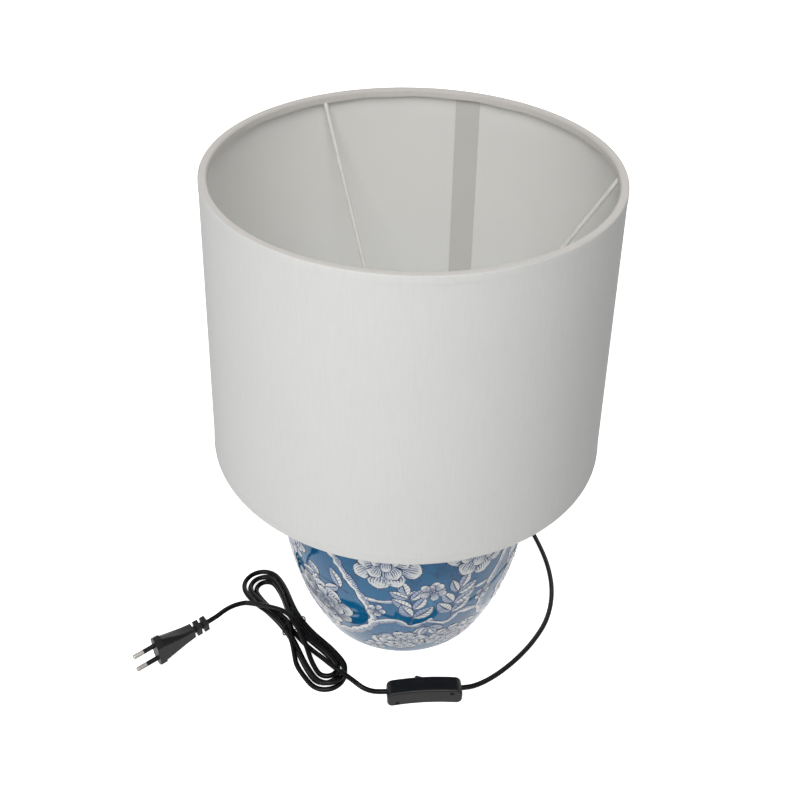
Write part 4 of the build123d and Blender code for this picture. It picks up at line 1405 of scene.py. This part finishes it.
# ------------------------------------------------------------------------- shade
@dataclass
class Shade:
    """The drum shade: cover, liner and edge tapes, in millimetres."""

    base: float = 190.0
    height: float = 220.0
    top_radius: float = 140.0
    foot_radius: float = 150.0
    cover: float = 0.5
    glue: float = 0.05
    liner: float = 1.0
    wire: float = 3.2
    ring_edge: float = 4.0
    tape: float = 0.5
    leg_skin: float = 0.2
    tape_height: float = 5.5
    clear: float = 0.1
    ring_play: float = 0.2
    tape_play: float = 0.15
    rows: int = 10
    bend: float = 1.2
    fold: float = 2.0
    segments: int = 240
    seed: int = 5

    def radius(self, z: float) -> float:
        """Outer radius of the cover at a height."""
        return self.foot_radius + (self.top_radius - self.foot_radius) * (z - self.base) / self.height

    def build(self) -> None:
        """Make the cover, the liner and both tapes."""
        cloth = Twill("shade_cloth", paint(221, 221, 219), paint(201, 201, 199)).make()
        sheet = Lining("shade_lining", paint(242, 241, 237)).make()
        tape = Twill("edge_tape", paint(218, 214, 210), paint(198, 194, 190), pitch=0.7 * MM,
                     slope=0.4).make()
        self._skin(Tag("cloth_cover", "shade_fabric", ("shade_cover",), SHADE), 0.0, self.cover, cloth)
        self._skin(Tag("lining", "shade_lining", ("shade_liner",), SHADE), self.cover + self.glue, self.liner,
                   sheet)
        self._tape(Tag("top_tape", "edge_tape", ("top_trim",), SHADE), self.base + self.height, -1, tape,
                   cloth)
        self._tape(Tag("foot_tape", "edge_tape", ("bottom_trim",), SHADE), self.base, 1, tape, cloth)
        dress(Lining("seam_tape", paint(216, 214, 209)).make(), "seam_strip")
        dress(Moulded("coated_wire", paint(226, 225, 219), rough=0.38, grain_scale=700.0, coat=0.2).make(),
              "top_ring", "bottom_ring", "fitter_ring", "spider_arm_1", "spider_arm_2", "spider_arm_3")

    def _skin(self, tag: Tag, depth: float, thickness: float, material: bpy.types.Material) -> None:
        """Turn one skin of the shade.

        Args:
            tag: Its name, slot, replaced nodes and body.
            depth: How far its face is inside the cover's face.
            thickness: Its thickness.
            material: Its material.
        """
        low = self.base + self.tape + self.clear
        high = self.base + self.height - self.tape - self.clear
        heights = [low + (high - low) * row / self.rows for row in range(self.rows + 1)]
        lathe = Lathe(self.radius(low) - depth, low)
        lathe.line(*[(self.radius(z) - depth, z) for z in heights[1:]])
        lathe.line(*[(self.radius(z) - depth - thickness, z) for z in reversed(heights)])
        publish(lathe.turn(self.segments), tag, material)

    def _tape(self, tag: Tag, edge: float, inward: int, material: bpy.types.Material,
              cloth: bpy.types.Material) -> None:
        """Turn the folded tape over one edge, slightly uneven as glued cloth is.

        Args:
            tag: Its name, slot, replaced nodes and body.
            edge: Height of the edge.
            inward: -1 at the top, 1 at the foot.
            material: Its material.
            cloth: The material of its outer leg, which is cut from the cover's cloth.
        """
        bend, fold = self.bend, self.fold
        ring_z = edge + inward * self.ring_edge
        ring = (self.radius(ring_z) - self.cover - self.glue - self.liner - self.wire / 2
                - self.ring_play)
        leg = edge + inward * self.tape_height
        face = self.radius(leg) + self.glue + self.leg_skin
        out = self.radius(edge) + self.glue + self.leg_skin
        inside = ring - self.wire / 2 - self.tape_play - self.tape
        lathe = Lathe(face, leg)
        lathe.line((out, edge + inward * bend))
        lathe.arc(out - bend, edge + inward * bend, -90.0 * inward, 5)
        lathe.line((inside + fold, edge))
        lathe.arc(inside + fold, edge + inward * fold, -90.0 * inward, 6)
        lathe.line((inside, leg), (inside + self.tape, leg), (inside + self.tape, edge + inward * fold))
        lathe.arc(inside + fold, edge + inward * fold, 90.0 * inward, 6)
        lathe.line((out - bend, edge + inward * self.tape))
        lathe.arc(out - bend, edge + inward * bend, 90.0 * inward, 5)
        lathe.line((out - self.leg_skin, edge + inward * (bend + 1.0)), (face - self.leg_skin, leg))
        bm = lathe.turn(self.segments)
        self._wrinkle(bm, edge, inward)
        for ribbon in bm.faces:
            middle = ribbon.calc_center_median() / MM
            ribbon.material_index = int(math.hypot(middle.x, middle.y) > out - bend * 0.5)
        publish(bm, tag, material, cloth, sharp=50.0)

    def _wrinkle(self, bm: bmesh.types.BMesh, edge: float, inward: int) -> None:
        """Make a tape's edges wander up and down, most at the ends of its legs.

        Args:
            bm: The tape.
            edge: Height of its fold.
            inward: -1 at the top, 1 at the foot.
        """
        dice = random.Random(self.seed + inward)
        waves = [(dice.randint(3, 40), dice.uniform(0, 6.3), dice.uniform(0.02, 0.07)) for _ in range(7)]
        for vert in bm.verts:
            azimuth = math.atan2(vert.co.y, vert.co.x)
            play = sum(size * math.sin(count * azimuth + phase) for count, phase, size in waves)
            away = min(1.0, abs(vert.co.z / MM - edge) / self.tape_height)
            vert.co.z += inward * play * away * 2.0 * MM
            vert.co.z += inward * abs(play) * 0.4 * (1 - away) * MM


# ------------------------------------------------------------------------- fittings
Finish = Union[Moulded, Metal, Felt]
DRESSED: tuple[tuple[Finish, tuple[str, ...]], ...] = (
    (Metal("brushed_cap", paint(196, 190, 178), rough=0.28), ("neck_cap",)),
    (Metal("zinc_steel", paint(186, 188, 190), rough=0.32),
     ("base_washer", "base_nut", "threaded_rod", "cap_nut", "holder_lock_screw", "terminal_screws",
      "switch_terminal_screws", "rocker_pin")),
    (Metal("blackened_steel", paint(34, 34, 35), rough=0.45), ("switch_case_screws",)),
    (Metal("brass", paint(206, 172, 104), rough=0.3),
     ("holder_screw_shell", "centre_contact", "terminals", "switch_contacts", "contact_bridge")),
    (Metal("nickel", paint(166, 162, 156), rough=0.22), ("plug_pins",)),
    (Felt("foot_felt", paint(46, 58, 50)), ("foot_felt",)),
    (Moulded("seal_rubber", paint(40, 40, 42), rough=0.7), ("base_gasket",)),
    (Moulded("holder_plastic", paint(226, 226, 222), rough=0.36, coat=0.15),
     ("holder_base", "holder_sleeve", "shade_ring")),
    (Moulded("holder_ceramic", paint(232, 230, 224), rough=0.5, grain_scale=600.0), ("holder_core",)),
    (Moulded("inner_cord", paint(20, 20, 21), rough=0.4), ("inner_lead", "cord_stop")),
    (Moulded("core_brown", paint(96, 58, 36), rough=0.4), ("live_core", "switch_cores")),
    (Moulded("core_blue", paint(36, 82, 160), rough=0.4), ("neutral_core",)),
    (Moulded("bush_rubber", paint(24, 24, 25), rough=0.5), ("cord_bush",)),
    (Moulded("switch_rocker", paint(12, 12, 13), rough=0.3, grain=0.008 * MM, shine=0.35),
     ("switch_rocker",)),
    (Moulded("pin_sleeve", paint(9, 9, 10), rough=0.38, shine=0.2), ("plug_pin_sleeves",)),
)


@dataclass
class Fittings:
    """Everything else: holder, cap, rod, bush, switch and plug."""

    switch_underside: Point = (0.0958, -0.9954, 0.0)

    def build(self) -> None:
        """Dress the CAD nodes, and round the ones that are seen close."""
        for finish, nodes in DRESSED:
            dress(finish.make(), *nodes)
        smooth = Moulded("switch_smooth", paint(10, 10, 11), rough=0.34, grain=0.006 * MM, shine=0.3).make()
        grained = Moulded("switch_grained", paint(46, 44, 44), rough=0.62, grain=0.09 * MM, grain_scale=620.0,
                          mottle=0.10, shine=0.3).make()
        softened("switch_cover", "switch_top", smooth)
        softened("switch_base", "switch_under", smooth, self.switch_underside, grained)
        rubber = Moulded("plug_black", paint(10, 10, 11), rough=0.40, grain=0.02 * MM, grain_scale=1200.0,
                         shine=0.26).make()
        softened("plug_body", "plug_black", rubber)
        dress(rubber, "plug_cord_end")


def main() -> None:
    """Build the studio and every part of the lamp."""
    logging.basicConfig(level=logging.INFO, format="%(name)s: %(message)s")
    Studio().build()
    Fittings().build()
    Lead().build()
    jar = Jar()
    jar.build()
    JarPrint(jar).build()
    Shade().build()


if __name__ == "__main__":
    main()
